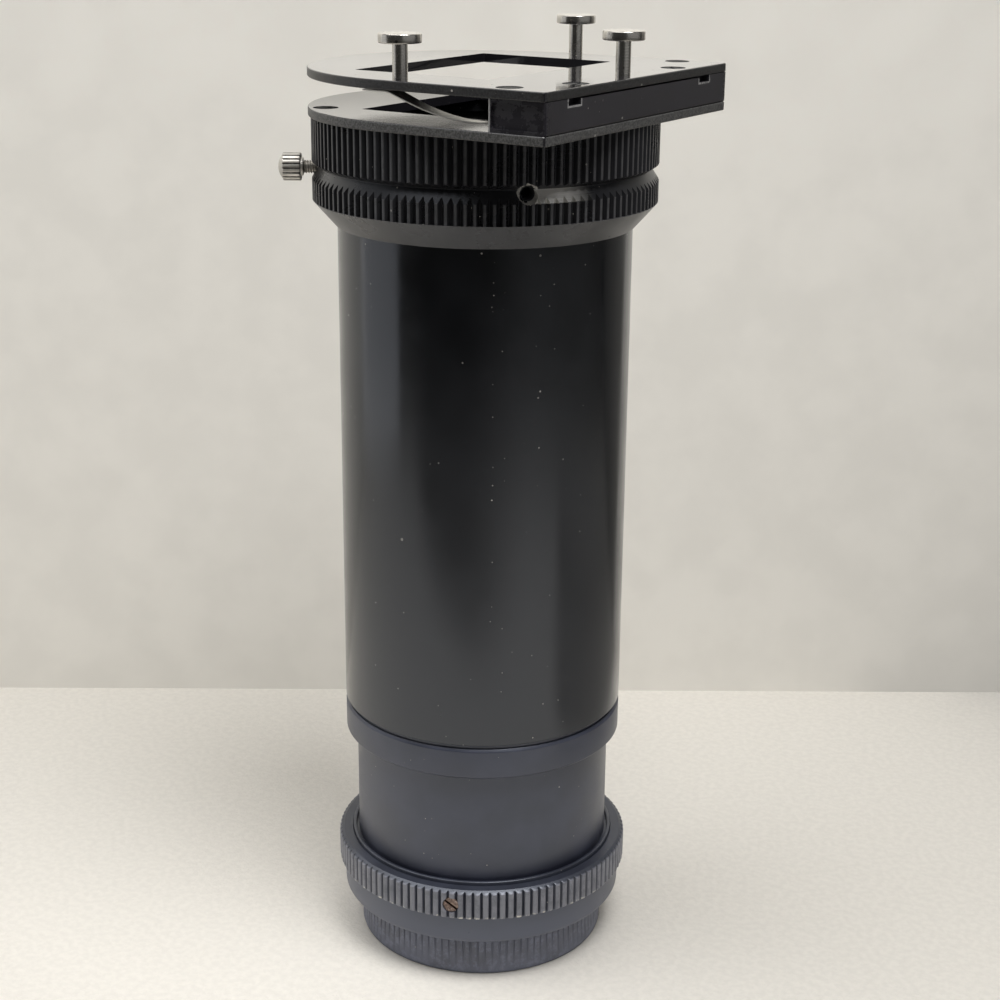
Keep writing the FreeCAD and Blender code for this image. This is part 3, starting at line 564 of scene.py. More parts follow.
def head_ring_material():
    """Anodised knurl: dye rubbed grey on the lands, bare metal at the spare hole and in the groove by it,
    brightened there as a painted glint; the cone painted paler as a painted reflection of the floor.
    """
    material, tree, place = start("worn_black_anodised_knurl")
    colour, satin, relief = anodised_layers(tree, place, "head", 0.28, 0.5, 0.1)
    across, turn, height = cylinder(tree, place)
    tip = reach("head_ring")
    cone = add(tree, "Math", (height, CONE_TOP + 0.02), operation="LESS_THAN")
    # Painted reflection: the cone is painted paler grey, standing in for the floor that it mirrors.
    painted_floor_sheen, _ = mottled(tree, place, 5.0, tone("#3f3f40"), tone("#484849"))
    land = add(tree, "MapRange", {"Value": across, "From Min": tip - 0.06, "From Max": tip - 0.01,
                                  "To Max": 0.4}, interpolation_type="SMOOTHSTEP")
    rubbed = overlap(tree, land, patches(tree, place, 1.6, 0.3, 0.6, 0.55))
    mouth = radial(SPARE_HOLE, CLAMP_HEIGHT) @ Vector((0, 0, 29.75 * MM))
    apart = add(tree, "VectorMath", (place, mouth), "Value", operation="DISTANCE")
    ragged = add(tree, "TexNoise", {"Vector": place, "Scale": every(0.7), "Detail": 4.0, "Roughness": 0.7})
    apart = add(tree, "Math", (apart, 1 / MM, ragged), operation="MULTIPLY_ADD")
    rim = overlap(tree, between(tree, apart, 1.9, 2.45, 0.1), patches(tree, place, 0.9, 0.4, 0.5, 0.4))
    # Painted glint: a streak in the V groove beside the spare hole, bare metal painted brighter where a
    # lamp's glint falls.
    drawn = add(tree, "CombineXYZ", (turn, 0.0, add(tree, "Math", (height, 0.5), operation="MULTIPLY")))
    glint_streak_noise = add(tree, "TexNoise", {"Vector": drawn, "Scale": 9.0, "Detail": 4.0, "Roughness": 0.6})
    glint_streak = overlap(
        tree, between(tree, height, GROOVE_FOOT - 0.1, GROOVE_BOTTOM + 0.05, 0.12),
        add(tree, "MapRange", {"Value": turn, "From Min": radians(-20), "From Max": radians(-37)},
            interpolation_type="SMOOTHSTEP"),
        add(tree, "Math", (turn, SPARE_HOLE), operation="GREATER_THAN"),
        add(tree, "MapRange", {"Value": height, "From Min": GROOVE_FOOT + 1.0,
                               "From Max": GROOVE_BOTTOM - 0.35, "To Min": 0.65}),
        add(tree, "MapRange", {"Value": glint_streak_noise, "From Min": 0.35, "From Max": 0.6, "To Min": 0.75}),
        add(tree, "Math", (across, tip - 0.06), operation="LESS_THAN"))
    glint_streak = add(tree, "Math", (glint_streak, 1.4), operation="MULTIPLY", use_clamp=True)
    # Worn bare metal round the spare hole, together with the painted glint in the groove.
    bare = add(tree, "Math", (rim, glint_streak), operation="MAXIMUM")
    colour = layered(tree, colour, (cone, painted_floor_sheen), (rubbed, tone("#6f6f71")), (bare, tone("bare")))
    satin = add(tree, "Mix", {0: bare, 2: satin, 3: 0.38})
    metal = add(tree, "Math", (bare, 0.1), operation="MULTIPLY")
    return close(material, {"Base Color": colour, "Metallic": metal, "Roughness": satin, "IOR": 1.45,
                            "Specular Tint": OXIDE}, relief, 0.004)


def mount_material():
    """Blue-black anodised knurl: ribs rubbed silky grey, knocked to bright metal at their feet, and the
    smooth band under the knurl painted paler as a painted reflection of the floor.
    """
    material, tree, place = start("blue_black_anodised_knurl")
    colour, satin, relief = anodised_layers(tree, place, "mount", 0.36, 0.5, 0.25)
    across, _, height = cylinder(tree, place)
    tip = reach("mount_ring")
    outer = add(tree, "MapRange", {"Value": across, "From Min": tip - 0.35, "From Max": tip - 0.1})
    foot = between(tree, height, KNURL_FOOT - 0.3, KNURL_FOOT + 0.7, 0.4)
    knocked = overlap(tree, outer, foot, patches(tree, place, 1.4, 0.52, 0.6))
    # Painted reflection: the smooth band under the knurl is painted paler, standing in for the floor that it
    # mirrors.
    band = add(tree, "Math", (height, KNURL_FOOT + 0.05), operation="LESS_THAN")
    rib = overlap(tree, outer, patches(tree, place, 3.0, 0.3, 0.6, 0.45))
    colour = layered(tree, colour, (band, tone("mount", 2.2)), (rib, tone("#797a83")),
                     (knocked, tone("bare")))
    return close(material, {"Base Color": colour, "Metallic": knocked, "Roughness": satin, "IOR": 1.77,
                            "Specular Tint": OXIDE}, relief, 0.004)


def cap_material():
    """Injection moulded ABS from a finely sparked mould: even dull grey-black, ribs rubbed paler."""
    material, tree, place = start("moulded_abs")
    colour, cloudy = mottled(tree, place, 7.0, tone("cap", 0.85), tone("cap", 1.15))
    across, _, height = cylinder(tree, place)
    rim, top = reach("rear_cap"), span("rear_cap")[1]
    edge = add(tree, "MapRange", {"Value": across, "From Min": rim - 0.12, "From Max": rim, "To Max": 0.3})
    worn = overlap(tree, edge, patches(tree, place, 1.6, 0.45, 0.65))
    lip = add(tree, "MapRange", {"Value": height, "From Min": top - 0.12, "From Max": top - 0.02,
                                 "To Max": 0.5})
    worn = add(tree, "Math", (worn, lip), operation="MAXIMUM")
    dirt = specks(tree, place, 2.1, 0.2, 0.3)
    colour = layered(tree, colour, (worn, tone("cap", 2.5)), (dirt, tone("dust")))
    satin = add(tree, "MapRange", {"Value": cloudy, "To Min": 0.44, "To Max": 0.54})
    spark = add(tree, "TexNoise", {"Vector": place, "Scale": every(0.25), "Detail": 2.0})
    return close(material, {"Base Color": colour, "Roughness": satin, "IOR": 1.53}, spark, 0.008)


def plate_rim(tree, place):
    """1 on the rim of a stage plate: its long sides, its square end and its round end."""
    across = cylinder(tree, place)[0]
    x, y, _ = add(tree, "SeparateXYZ", (place,)).node.outputs
    wide = add(tree, "Math", (y,), operation="ABSOLUTE")
    round_end = overlap(tree, across, add(tree, "Math", (x, 0.0), operation="LESS_THAN"))
    rim = 0.0
    for value, low, unit in ((wide, PLATE_ROUND - 0.2, MM), (x, PLATE_SQUARE - 0.2, MM),
                             (round_end, PLATE_ROUND - 0.2, 1)):
        edge = add(tree, "MapRange", {"Value": value, "From Min": low * unit,
                                      "From Max": (low + 0.15) * unit})
        rim = add(tree, "Math", (rim, edge), operation="MAXIMUM")
    return rim


def enamel_material(name, rough, sawn, worn):
    """Stoved black enamel on sheet: near mirror at a low angle, faint orange peel, matt grey sawn rims."""
    material, tree, place = start(name)
    colour, cloudy = mottled(tree, place, 11.0, tone("enamel", 0.85), tone("enamel", 1.15))
    grit, _ = mottled(tree, place, 0.3, tone(sawn, 0.55), tone(sawn, 1.5), 0.35, 0.65)
    edge = plate_rim(tree, place)
    chips = overlap(tree, edge, patches(tree, place, 0.45, 0.66, 0.74))
    dirt = specks(tree, place, 2.2, 0.24, 0.4)
    colour = layered(tree, colour, (edge, grit), (chips, tone("bare", 0.6)), (dirt, tone("dust")))
    gloss = add(tree, "MapRange", {"Value": cloudy, "To Min": rough, "To Max": rough + 0.04})
    gloss = add(tree, "Math", (dirt, 0.5, gloss), operation="MULTIPLY_ADD")
    gloss = add(tree, "Mix", {0: edge, 2: gloss, 3: worn})
    peel = add(tree, "TexNoise", {"Vector": place, "Scale": every(1.8), "Detail": 1.0})
    return close(material, {"Base Color": colour, "Roughness": gloss, "IOR": 1.52}, peel, 0.004)


def block_material():
    """Black enamelled bar: satin faces, glossy pockets, a painted highlight down the inner end edges, and the
    notches rubbed bright where slides rub.
    """
    material, tree, place = start("enamel_on_bar")
    colour, cloudy = mottled(tree, place, 11.0, tone("enamel", 1.5), tone("enamel", 1.9))
    x, y, z = add(tree, "SeparateXYZ", (place,)).node.outputs
    wide = add(tree, "Math", (y,), operation="ABSOLUTE")
    low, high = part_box("stop_block")
    # Painted highlight: a bright line down the inner edges of the block's ends.
    corner = overlap(tree, add(tree, "Math", (wide, high.y - 0.8 * MM), operation="GREATER_THAN"),
                     add(tree, "Math", (x, low.x + 0.45 * MM), operation="LESS_THAN"))
    near, far = [(NOTCH_PLACE + side * (NOTCH_HALF + 0.3)) * MM for side in (-1, 1)]
    notch = overlap(tree, between(tree, wide, near, far, 0.02 * MM),
                    add(tree, "Math", (z, high.z - 1.4 * MM), operation="GREATER_THAN"),
                    add(tree, "Math", (x, high.x - 0.06 * MM), operation="GREATER_THAN"),
                    patches(tree, place, 0.9, 0.4, 0.5))
    # The painted edge highlight together with the notches rubbed bright.
    bright = add(tree, "Math", (corner, notch), operation="MAXIMUM")
    dirt = specks(tree, place, 2.2, 0.24, 0.4)
    colour = layered(tree, colour, (bright, tone("#959595")), (dirt, tone("dust")))
    pocket = add(tree, "Math", (wide, high.y - 1.1 * MM), operation="GREATER_THAN")
    smear = add(tree, "Math", (patches(tree, place, 2.0, 0.35, 0.65), 0.3, 0.1), operation="MULTIPLY_ADD")
    satin = add(tree, "MapRange", {"Value": cloudy, "To Min": 0.44, "To Max": 0.5})
    satin = add(tree, "Mix", {0: pocket, 2: satin, 3: smear})
    peel = add(tree, "TexNoise", {"Vector": place, "Scale": every(1.8), "Detail": 2.0})
    return close(material, {"Base Color": colour, "Roughness": satin, "IOR": 1.52}, peel, 0.01)


def plated_material():
    """Bright nickel on turned steel: clean reflections drawn out along the shank, a few dull spots."""
    material, tree, place = start("nickel_plated_steel")
    colour, dull = mottled(tree, place, 1.5, tone("nickel"), tone("nickel", 0.85), 0.5, 0.75)
    spots = specks(tree, place, 0.8, 0.26, 0.25)
    colour = layered(tree, colour, (spots, tone("#3f3c38")))
    satin = add(tree, "MapRange", {"Value": dull, "To Min": 0.22, "To Max": 0.32})
    turning = add(tree, "TexWave", {"Vector": place, "Scale": every(0.25) / 20 * pi, "Distortion": 2.0,
                                    "Detail": 3.0}, "Fac", bands_direction="Z")
    return close(material, {"Base Color": colour, "Metallic": 1.0, "Roughness": satin}, turning, 0.002)


def thumb_screw_material():
    """Nickel-plated knurl, satin with age, with dirt packed in its grooves."""
    material, tree, place = start("grimy_nickel_plate")
    colour, dull = mottled(tree, place, 1.5, tone("nickel", 1.25), tone("nickel", 1.05))
    local = add(tree, "Mapping", {"Vector": place, "Rotation": (0, 0, -CLAMP),
                                  "Location": (0, 0, -CLAMP_HEIGHT * MM)})
    along, y, z = add(tree, "SeparateXYZ", (local,)).node.outputs
    radius = add(tree, "VectorMath", (add(tree, "CombineXYZ", (0.0, y, z)),), "Value", operation="LENGTH")
    grime = overlap(tree, between(tree, radius, 1.7 * MM, (THUMB_RADIUS - 0.08) * MM, 0.1 * MM),
                    add(tree, "Math", (along, (THUMB_END - 0.15) * MM), operation="LESS_THAN"),
                    patches(tree, place, 0.8, 0.35, 0.65, 0.35))
    colour = layered(tree, colour, (grime, tone("#302f2c")))
    satin = add(tree, "MapRange", {"Value": dull, "To Min": 0.45, "To Max": 0.55})
    satin = add(tree, "Math", (grime, 0.3, satin), operation="MULTIPLY_ADD")
    metal = add(tree, "Math", (1.0, grime), operation="SUBTRACT")
    return close(material, {"Base Color": colour, "Metallic": metal, "Roughness": satin}, dull, 0.004)


def spring_material():
    """Polished blue-white spring strip, finely drawn along its length."""
    material, tree, place = start("polished_spring_steel")
    colour, dull = mottled(tree, place, 3.0, tone("steel", 0.9), tone("steel"))
    drawn = add(tree, "Mapping", {"Vector": place, "Scale": (0.06, 1.0, 0.06)})
    lines = add(tree, "TexNoise", {"Vector": drawn, "Scale": every(0.22), "Detail": 3.0})
    satin = add(tree, "MapRange", {"Value": dull, "To Min": 0.38, "To Max": 0.46})
    return close(material, {"Base Color": colour, "Metallic": 1.0, "Roughness": satin}, lines, 0.004)


def brass_material():
    """Brass screw, turned and gone brown, with bright scratches from a driver."""
    material, tree, place = start("browned_brass")
    colour, tarnish = mottled(tree, place, 0.6, tone("brass", 0.5), tone("brass"))
    bright = patches(tree, place, 0.3, 0.55, 0.7)
    colour = layered(tree, colour, (bright, tone("#cbc0bc")))
    satin = add(tree, "MapRange", {"Value": tarnish, "To Min": 0.5, "To Max": 0.3})
    return close(material, {"Base Color": colour, "Metallic": 1.0, "Roughness": satin}, tarnish, 0.02)


def black_screw_material():
    """Chemically blackened steel screws: the thin iron oxide is darker in the hollows and slightly oily."""
    material, tree, place = start("blackened_steel")
    colour, cloudy = mottled(tree, place, 0.9, tone("#121213"), tone("#303031"))
    satin = add(tree, "MapRange", {"Value": cloudy, "To Min": 0.6, "To Max": 0.75})
    return close(material, {"Base Color": colour, "Roughness": satin, "IOR": 1.5}, cloudy, 0.01)


def inside_material():
    """Matt black paint with a fine tooth, as inside every light path."""
    material, tree, place = start("matt_black_paint")
    colour, _ = mottled(tree, place, 6.0, tone("#121212"), tone("#1f1f1f"))
    tooth = add(tree, "TexNoise", {"Vector": place, "Scale": every(0.3), "Detail": 3.0})
    matt = add(tree, "MapRange", {"Value": tooth, "From Min": 0.3, "From Max": 0.7, "To Min": 0.7,
                                  "To Max": 0.95})
    return close(material, {"Base Color": colour, "Roughness": matt, "IOR": 1.5}, tooth, 0.03)


def glass_material():
    """Polished crown glass with a faint film of dust."""
    material, tree, place = start("coated_crown_glass")
    tint, _ = mottled(tree, place, 9.0, tone("#f7f9ff"), tone("#fff9fc"))
    film = add(tree, "Math", (patches(tree, place, 4.0, 0.45, 0.8), 0.06), operation="MULTIPLY")
    film = add(tree, "Math", (specks(tree, place, 1.2, 0.16, 0.3), 0.5, film), operation="MULTIPLY_ADD")
    return close(material, {"Base Color": tint, "Roughness": film, "IOR": 1.52, "Transmission Weight": 1.0})


def beyond_view(tree, place):
    """Place to the right and away from the lens in millimetres, and 1 on rays that don't reach the lens."""
    across = add(tree, "Mapping", {"Vector": place, "Rotation": (0, 0, -CAMERA_TURN), "Scale": (1 / MM,) * 3})
    right, away, _ = add(tree, "SeparateXYZ", (across,)).node.outputs
    direct = add(tree, "LightPath").node.outputs["Is Camera Ray"]
    return right, away, add(tree, "Math", (1.0, direct), operation="SUBTRACT")


def paper_material():
    """Pale felt-finish paper: a soft mottle and a short tooth.

    Right of the paper's edge the floor is painted dark as shade, and in front, where the onlooker stands, as
    a painted shadow. Reflections and bounced light show both, and the lens sees neither.
    """
    material, tree, place = start("felt_finish_paper")
    colour, mottle = mottled(tree, place, 1.4, tone("floor", 0.94), tone("floor"))
    right, away, unseen = beyond_view(tree, place)
    edge = add(tree, "Math", (right, 0.53, add(tree, "Math", (away, 13.7), operation="ADD")),
               operation="MULTIPLY_ADD")
    # Painted shade: the floor right of the paper's edge, dark on every ray but the lens's own.
    painted_dark_right = overlap(
        tree, add(tree, "MapRange", {"Value": edge, "From Min": -16.0, "From Max": 16.0}),
        add(tree, "MapRange", {"Value": right, "From Min": 88.0, "From Max": 108.0}),
        add(tree, "MapRange", {"Value": right, "From Min": 300.0, "From Max": 200.0, "To Max": 0.5}))
    # Painted shadow: a wedge of floor in front, where the onlooker stands, dark on every ray but the lens's
    # own.
    nearer = add(tree, "Math", (away, -1.0), operation="MULTIPLY")
    heading = add(tree, "Math", (right, nearer), operation="ARCTAN2")
    front = overlap(tree, *[
        add(tree, "MapRange", {"Value": value, "From Min": low, "From Max": high, "To Max": most},
            interpolation_type="SMOOTHSTEP")
        for value, low, high, most in ((heading, radians(-62), radians(-42), 1.0),
                                       (heading, radians(42), radians(-18), 1.0),
                                       (away, -130.0, -200.0, 0.65))])
    painted_shade_and_shadow = overlap(tree, add(tree, "Math", (front, painted_dark_right), operation="MAXIMUM"), unseen)
    tooth = add(tree, "TexNoise", {"Vector": place, "Scale": every(0.6), "Detail": 3.0})
    matt = add(tree, "MapRange", {"Value": mottle, "To Min": 0.85, "To Max": 0.95})
    colour = layered(tree, colour, (painted_shade_and_shadow, tone("#000000")))
    return close(material, {"Base Color": colour, "Roughness": matt, "IOR": 1.4}, tooth, 0.16)


def backdrop_material():
    """Pale card that glows as painted light, brighter higher up and brightest above the view in reflections,
    and painted dark right of the view. It hides nothing from behind.
    """
    material, tree, place = start("pale_card")
    colour, _ = mottled(tree, place, 14.0, tone("wall", 0.97), tone("wall", 1.02))
    right, _, unseen = beyond_view(tree, place)
    # Painted dark right of the view, on every ray but the lens's own.
    painted_dark_right = add(tree, "MapRange", {"Value": right, "From Min": 120.0, "From Max": 126.0, "To Max": 0.65})
    colour = layered(tree, colour, (overlap(tree, painted_dark_right, unseen), tone("#000000")))
    # Painted light: the card glows, more towards its top as if lit from above, and above the view it glows
    # brighter in reflections only.
    height = cylinder(tree, place)[2]
    low = add(tree, "MapRange", {"Value": height, "From Max": 170.0, "To Min": 0.21, "To Max": 0.5})
    above = add(tree, "MapRange", {"Value": height, "From Min": 171.0, "From Max": 177.0, "To Max": 0.65})
    rays = add(tree, "LightPath").node.outputs
    mirrored = add(tree, "Math", (rays["Is Glossy Ray"], rays["Is Transmission Ray"]), operation="MAXIMUM")
    shown = add(tree, "Math", (mirrored, rays["Is Camera Ray"]), operation="MAXIMUM")
    glow = add(tree, "Math", (above, mirrored, overlap(tree, low, shown)), operation="MULTIPLY_ADD")
    card = add(tree, "AddShader", (add(tree, "BsdfDiffuse", (colour,)),
                                   add(tree, "Emission", (colour, glow))))
    back = add(tree, "NewGeometry").node.outputs["Backfacing"]
    add(tree, "OutputMaterial", (add(tree, "MixShader", (back, card, add(tree, "BsdfTransparent"))),))
    return material


# ---- studio ---------------------------------------------------------------------------------------
def seen(x, y, z):
    """Place given as right, away from the lens and up, in millimetres, turned into the part's frame."""
    return Matrix.Rotation(CAMERA_TURN, 4, "Z") @ Vector((x * MM, y * MM, z * MM))


def lamp(kind, name, place, aim, power):
    """Lamp that the lens never sees, turned to its aim."""
    release()
    bpy.ops.object.light_add(type=kind, location=seen(*place))
    made = bpy.context.object
    made.name = name
    made.visible_camera = False
    made.data.energy = power
    made.rotation_euler = (seen(*aim) - seen(*place)).to_track_quat("-Z", "Y").to_euler()
    return made.data


def panel(name, place, aim, width, height, power):
    """Evenly lit soft panel."""
    light = lamp("AREA", name, place, aim, power)
    light.shape = "RECTANGLE"
    light.size, light.size_y = width * MM, height * MM


def pool(name, place, aim, angle, softness, power):
    """Soft lamp whose light stays in a round pool on the floor."""
    light = lamp("SPOT", name, place, aim, power)
    light.color = linear("#fffefd")
    light.spot_size = radians(angle)
    light.spot_blend = 0.6
    light.shadow_soft_size = softness * MM


class BuildStudio(bpy.types.Operator):
    """Paper floor, card behind, soft lamps, room light and camera"""
    bl_idname = "duplicator.studio"
    bl_label = "Studio"

    def execute(self, context):
        scene = context.scene
        studio = scene.studio_sizes
        wall = studio.wall_distance / MM
        under, far, half, top = -0.02, 1500, 450, 360
        floor = self.sheet("paper_floor", paper_material(), Vector((0, 0, 1)), (
            (-far, -far, under), (far, -far, under), (far, wall, under), (-far, wall, under)))
        card = self.sheet("card_backdrop", backdrop_material(), seen(0, -1, 0), (
            (-half, wall, under), (half, wall, under), (half, wall, top), (-half, wall, top)))
        pool("key_lamp", (130, -200, 640), (4, -55, 0), 58, 150, studio.key_power)
        pool("fill_lamp", (-230, -60, 600), (-40, -45, 0), 56, 260, studio.fill_power)
        panel("left_panel", (-330, -14, 200), (0, -14, 200), 240, 400, studio.side_power)
        panel("right_panel", (520, -420, 300), (0, 0, 60), 1000, 500, studio.right_power)
        self.room(scene, studio.ambient)
        self.camera(scene)
        return {"FINISHED"}

    def sheet(self, name, material, towards, corners):
        """Flat sheet between corners, its front turned this way."""
        sheet = blank(name)
        chain([tuple(seen(*p)) for p in corners + corners[:1]])
        fill_chain()
        if bmesh.from_edit_mesh(sheet.data).faces[:][0].normal.dot(towards) < 0:
            bpy.ops.mesh.flip_normals()
        bpy.ops.object.mode_set(mode="OBJECT")
        cover(sheet, material)
        return sheet

    def room(self, scene, strength):
        world = bpy.data.worlds.new("room")
        scene.world = world
        world.use_nodes = True
        shade = world.node_tree.nodes["Background"]
        shade.inputs["Color"].default_value = tone("#fffdf9")
        shade.inputs["Strength"].default_value = strength

    def camera(self, scene):
        pitch, yaw, roll = radians(18.42), radians(0.53), radians(0.50)
        ahead = Vector((sin(yaw) * cos(pitch), cos(yaw) * cos(pitch), -sin(pitch)))
        right = Vector((cos(yaw), -sin(yaw), 0))
        above = right.cross(ahead)
        across = right * cos(roll) + above * sin(roll)
        up = above * cos(roll) - right * sin(roll)
        pose = Matrix((across, up, -ahead)).transposed().to_4x4()
        pose.translation = Vector((0, -333.4, 198.8)) * MM
        release()
        bpy.ops.object.camera_add()
        made = bpy.context.object
        made.name = "lens"
        made.matrix_world = Matrix.Rotation(CAMERA_TURN, 4, "Z") @ pose
        made.data.lens = 66.98
        made.data.sensor_width = 36
        made.data.clip_start = 0.01
        scene.camera = made
        scene.view_settings.view_transform = "Standard"


# ---- cap and camera mount -------------------------------------------------------------------------
class BuildRearCap(bpy.types.Operator):
    """Moulded rear cap with fine ribs that fade towards its base"""
    bl_idname = "duplicator.rear_cap"
    bl_label = "Rear cap"

    def execute(self, context):
        knurl = context.scene.knurl_sizes
        r, top, depth = reach("rear_cap"), span("rear_cap")[1], knurl.cap_depth / MM
        bore, lip, floor = 21.05, top - 0.7, 1.8
        land = [(0, 0), (r - 0.5, 0), (r - 0.14, 0.16), (r, 0.55), (r, 1.2), (r, 3.0), (r, 5.2),
                (r, lip - 0.2), (r - 0.08, lip - 0.04), (r - depth, lip), (r - depth, top - 0.2),
                (r - depth - 0.06, top - 0.06), (r - depth - 0.22, top), (bore + 0.15, top),
                (bore, top - 0.15), (bore, floor), (0, floor)]
        fade = {4: 0.0, 5: 0.35, 6: 0.8, 7: 1.0, 8: 1.0}
        valley = [(p[0] - depth * fade[i], p[1]) if i in fade else p for i, p in enumerate(land)]
        valley[8] = land[9]
        piece = ribbed("rear_cap_shell", land, valley, knurl.cap_ribs,
                       [(-0.33, 0.0), (-0.1, -0.12), (0.1, -0.12), (0.33, 0.0), (0.44, 0.9), (0.56, 0.9)])
        fit(piece, "cap", "cap_plastic", cap_material(), "rear_cap")
        return {"FINISHED"}


class BuildMountRing(bpy.types.Operator):
    """Knurled camera mount with its thread, and the smooth band under the knurl"""
    bl_idname = "duplicator.mount_ring"
    bl_label = "Mount ring"

    def execute(self, context):
        knurl = context.scene.knurl_sizes
        r, depth = reach("mount_ring"), knurl.mount_depth / MM
        low, top = span("mount_ring")
        band, neck, shoulder = 8.7, 25.65, 13.1
        outline = soften([(THREAD_ROOT, low), (STUB, low), (STUB, band), (r - 1.1, band, 0.9),
                          (r - 1.1, KNURL_FOOT - 0.06), (r - 1.0, KNURL_FOOT), (r - 0.3, KNURL_FOOT),
                          (r - 0.06, KNURL_FOOT + 0.2), (r, KNURL_FOOT + 0.5), (r, top - 0.62),
                          (r - 0.12, top - 0.46), (r - 0.9, top), (neck + 0.07, top), (neck, top - 0.07),
                          (neck, shoulder), (THREAD_ROOT, shoulder)])
        land, valley = grooved(outline + outline[:1], r - depth)
        piece = ribbed("mount_ring_body", land, valley, knurl.mount_ribs,
                       [(-0.31, 0.24), (-0.2, 0.08), (-0.07, 0.0), (0.07, 0.0), (0.2, 0.08), (0.31, 0.24),
                        (0.42, 0.8), (0.5, 1.0), (0.58, 0.8)])
        for angle in SET_SCREWS:
            drill(piece, radial(angle, SET_SCREW_HEIGHT), 1.53, 24.0, r + 1)
        smooth_again(piece)
        fit(piece, "camera_mount", "mount_black", mount_material(), "mount_ring")
        return {"FINISHED"}


class BuildSetScrews(bpy.types.Operator):
    """Three slotted brass set screws that hold the mount on its inner ring"""
    bl_idname = "duplicator.set_screws"
    bl_label = "Set screws"

    def execute(self, context):
        tip, outer, r, material = 24.7, 27.95, 1.5, brass_material()
        model = turned("set_screw", [(0, tip), (r, tip + r), (r, outer, 0.12), (0, outer)], FINE_STEPS,
                       closed=False)
        smooth_again(slotted(model, outer, 2, 55))
        for piece in copies(model, [("mount_set_screw_%d" % (i + 1), radial(angle, SET_SCREW_HEIGHT))
                                    for i, angle in enumerate(SET_SCREWS)]):
            fit(piece, "camera_mount", "screw_brass", material, "mount_set_screws")
        return {"FINISHED"}


class BuildTubes(bpy.types.Operator):
    """Inner mount ring, rear tube, end collar and main tube, all turned and anodised"""
    bl_idname = "duplicator.tubes"
    bl_label = "Tubes"

    def execute(self, context):
        sizes = context.scene.tube_sizes
        silk = anodised("satin_black_anodised", "collar", 0.33, 0.35, 0.3)
        tube_black = anodised("smooth_black_anodised", "tube", 0.15, 0.4, 0.12)
        blue = anodised("blue_black_anodised", "mount", 0.3, 0.4, 0.3)
        lip = sizes.lip_round / MM
        inner = turned("inner_ring", [
            (21.03, 13.3), (25.6, 13.3), (25.6, 16.0), (24.5, 17.1), (25.6, 18.2), (25.6, 20.8, lip),
            (24.95, 20.8, 0.12), (24.95, 20.0), (21.03, 20.0)])
        fit(inner, "tube", "mount_black", blue, "inner_mount_ring")
        rear = reach("rear_tube")
        foot, top = span("rear_tube")
        tail = turned("rear_tube_shell", [
            (THREAD_ROOT, foot), (STUB, foot), (STUB, 20.0), (rear, 20.0, 0.1), (rear, top), (rear - 2, top),
            (rear - 2, 22.0), (THREAD_ROOT, 22.0)])
        fit(tail, "tube", "black_metal", silk, "rear_tube")
        self.collar(sizes, rear, silk)
        self.main_tube(sizes, tube_black)
        return {"FINISHED"}

    def collar(self, sizes, rear, material):
        r, (foot, top) = reach("end_collar"), span("end_collar")
        edge, neck = sizes.collar_break / MM, r - sizes.neck_depth / MM
        shoulder = span("main_tube")[0]
        crown = shoulder - sizes.neck_height / MM
        piece = turned("end_collar_shell", [
            (rear + 0.03, foot), (r - 0.35, foot), (r, foot + 0.35, 0.08), (r, crown - 0.5, 0.1),
            (r - edge, crown, 0.1), (neck, crown), (neck, shoulder), (25.07, shoulder), (25.07, top),
            (rear - 2, top), (rear - 2, 55.1), (rear + 0.03, 55.1)])
        fit(piece, "tube", "black_metal", material, "end_collar")

    def main_tube(self, sizes, material):
        r, (foot, top) = reach("main_tube"), span("main_tube")
        bore, seat, groove = r - sizes.tube_wall / MM, 25.1, 0.6
        piece = turned("main_tube_shell", [
            (seat, foot), (r - 0.12, foot), (r, foot + 0.12, 0.05), (r, CLAMP_HEIGHT - groove),
            (r - groove, CLAMP_HEIGHT), (r, CLAMP_HEIGHT + groove), (r, top, 0.2), (bore, top, 0.2),
            (bore, 69.9), (seat, 69.9)])
        fit(piece, "tube", "black_metal", material, "main_tube")
        piece.data.materials.append(inside_material())
        for face in piece.data.polygons:
            face.material_index = int(hypot(*face.center[:2]) < (seat + 0.1) * MM)


# ---- lens -----------------------------------------------------------------------------------------
class BuildLens(bpy.types.Operator):
    """Both lens elements with polished curves, and finishes for the metal round them"""
    bl_idname = "duplicator.lens"
    bl_label = "Lens"

    def execute(self, context):
        glass, matt = glass_material(), inside_material()
        metal = anodised("fine_black_anodised", LENS_BLACK, 0.34, 0.12, 0.4)
        outer, inner, edge, rim = 28.0, 75.0, 9.57, 2.0
        for name, node, lower, upper in (("front_glass", "front_element", inner, outer),
                                         ("rear_glass", "rear_element", outer, inner)):
            foot = span(node)[0] + self.sag(lower)
            outline = self.arc(lower, foot, -1) + [(edge, foot), (edge, foot + rim)]
            outline += self.arc(upper, foot + rim, 1)[::-1]
            fit(turned(name, outline, 96, closed=False), "tube", "lens_glass", glass, node)
        for node in ("lens_board", "board_lock_ring", "lens_barrel", "barrel_nut", "front_retainer",
                     "rear_retainer"):
            finish_node(node, metal)
        for node in ("aperture_stop", "front_spacer", "rear_spacer"):
            finish_node(node, matt)
        return {"FINISHED"}

    def sag(self, curve, at=CLEAR_RADIUS):
        return curve - sqrt(curve ** 2 - at ** 2)

    def arc(self, curve, base, side, bits=12):
        """Points from the axis to the flat rim."""
        radii = [CLEAR_RADIUS * i / bits for i in range(bits + 1)]
        return [(r, base + side * (self.sag(curve) - self.sag(curve, r))) for r in radii]


def finish_node(node, material):
    """Assign a material to a solid that stays as it is."""
    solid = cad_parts[node]
    if not solid.data.materials:
        solid.data.materials.append(material)
    for place in solid.material_slots:
        place.material = material


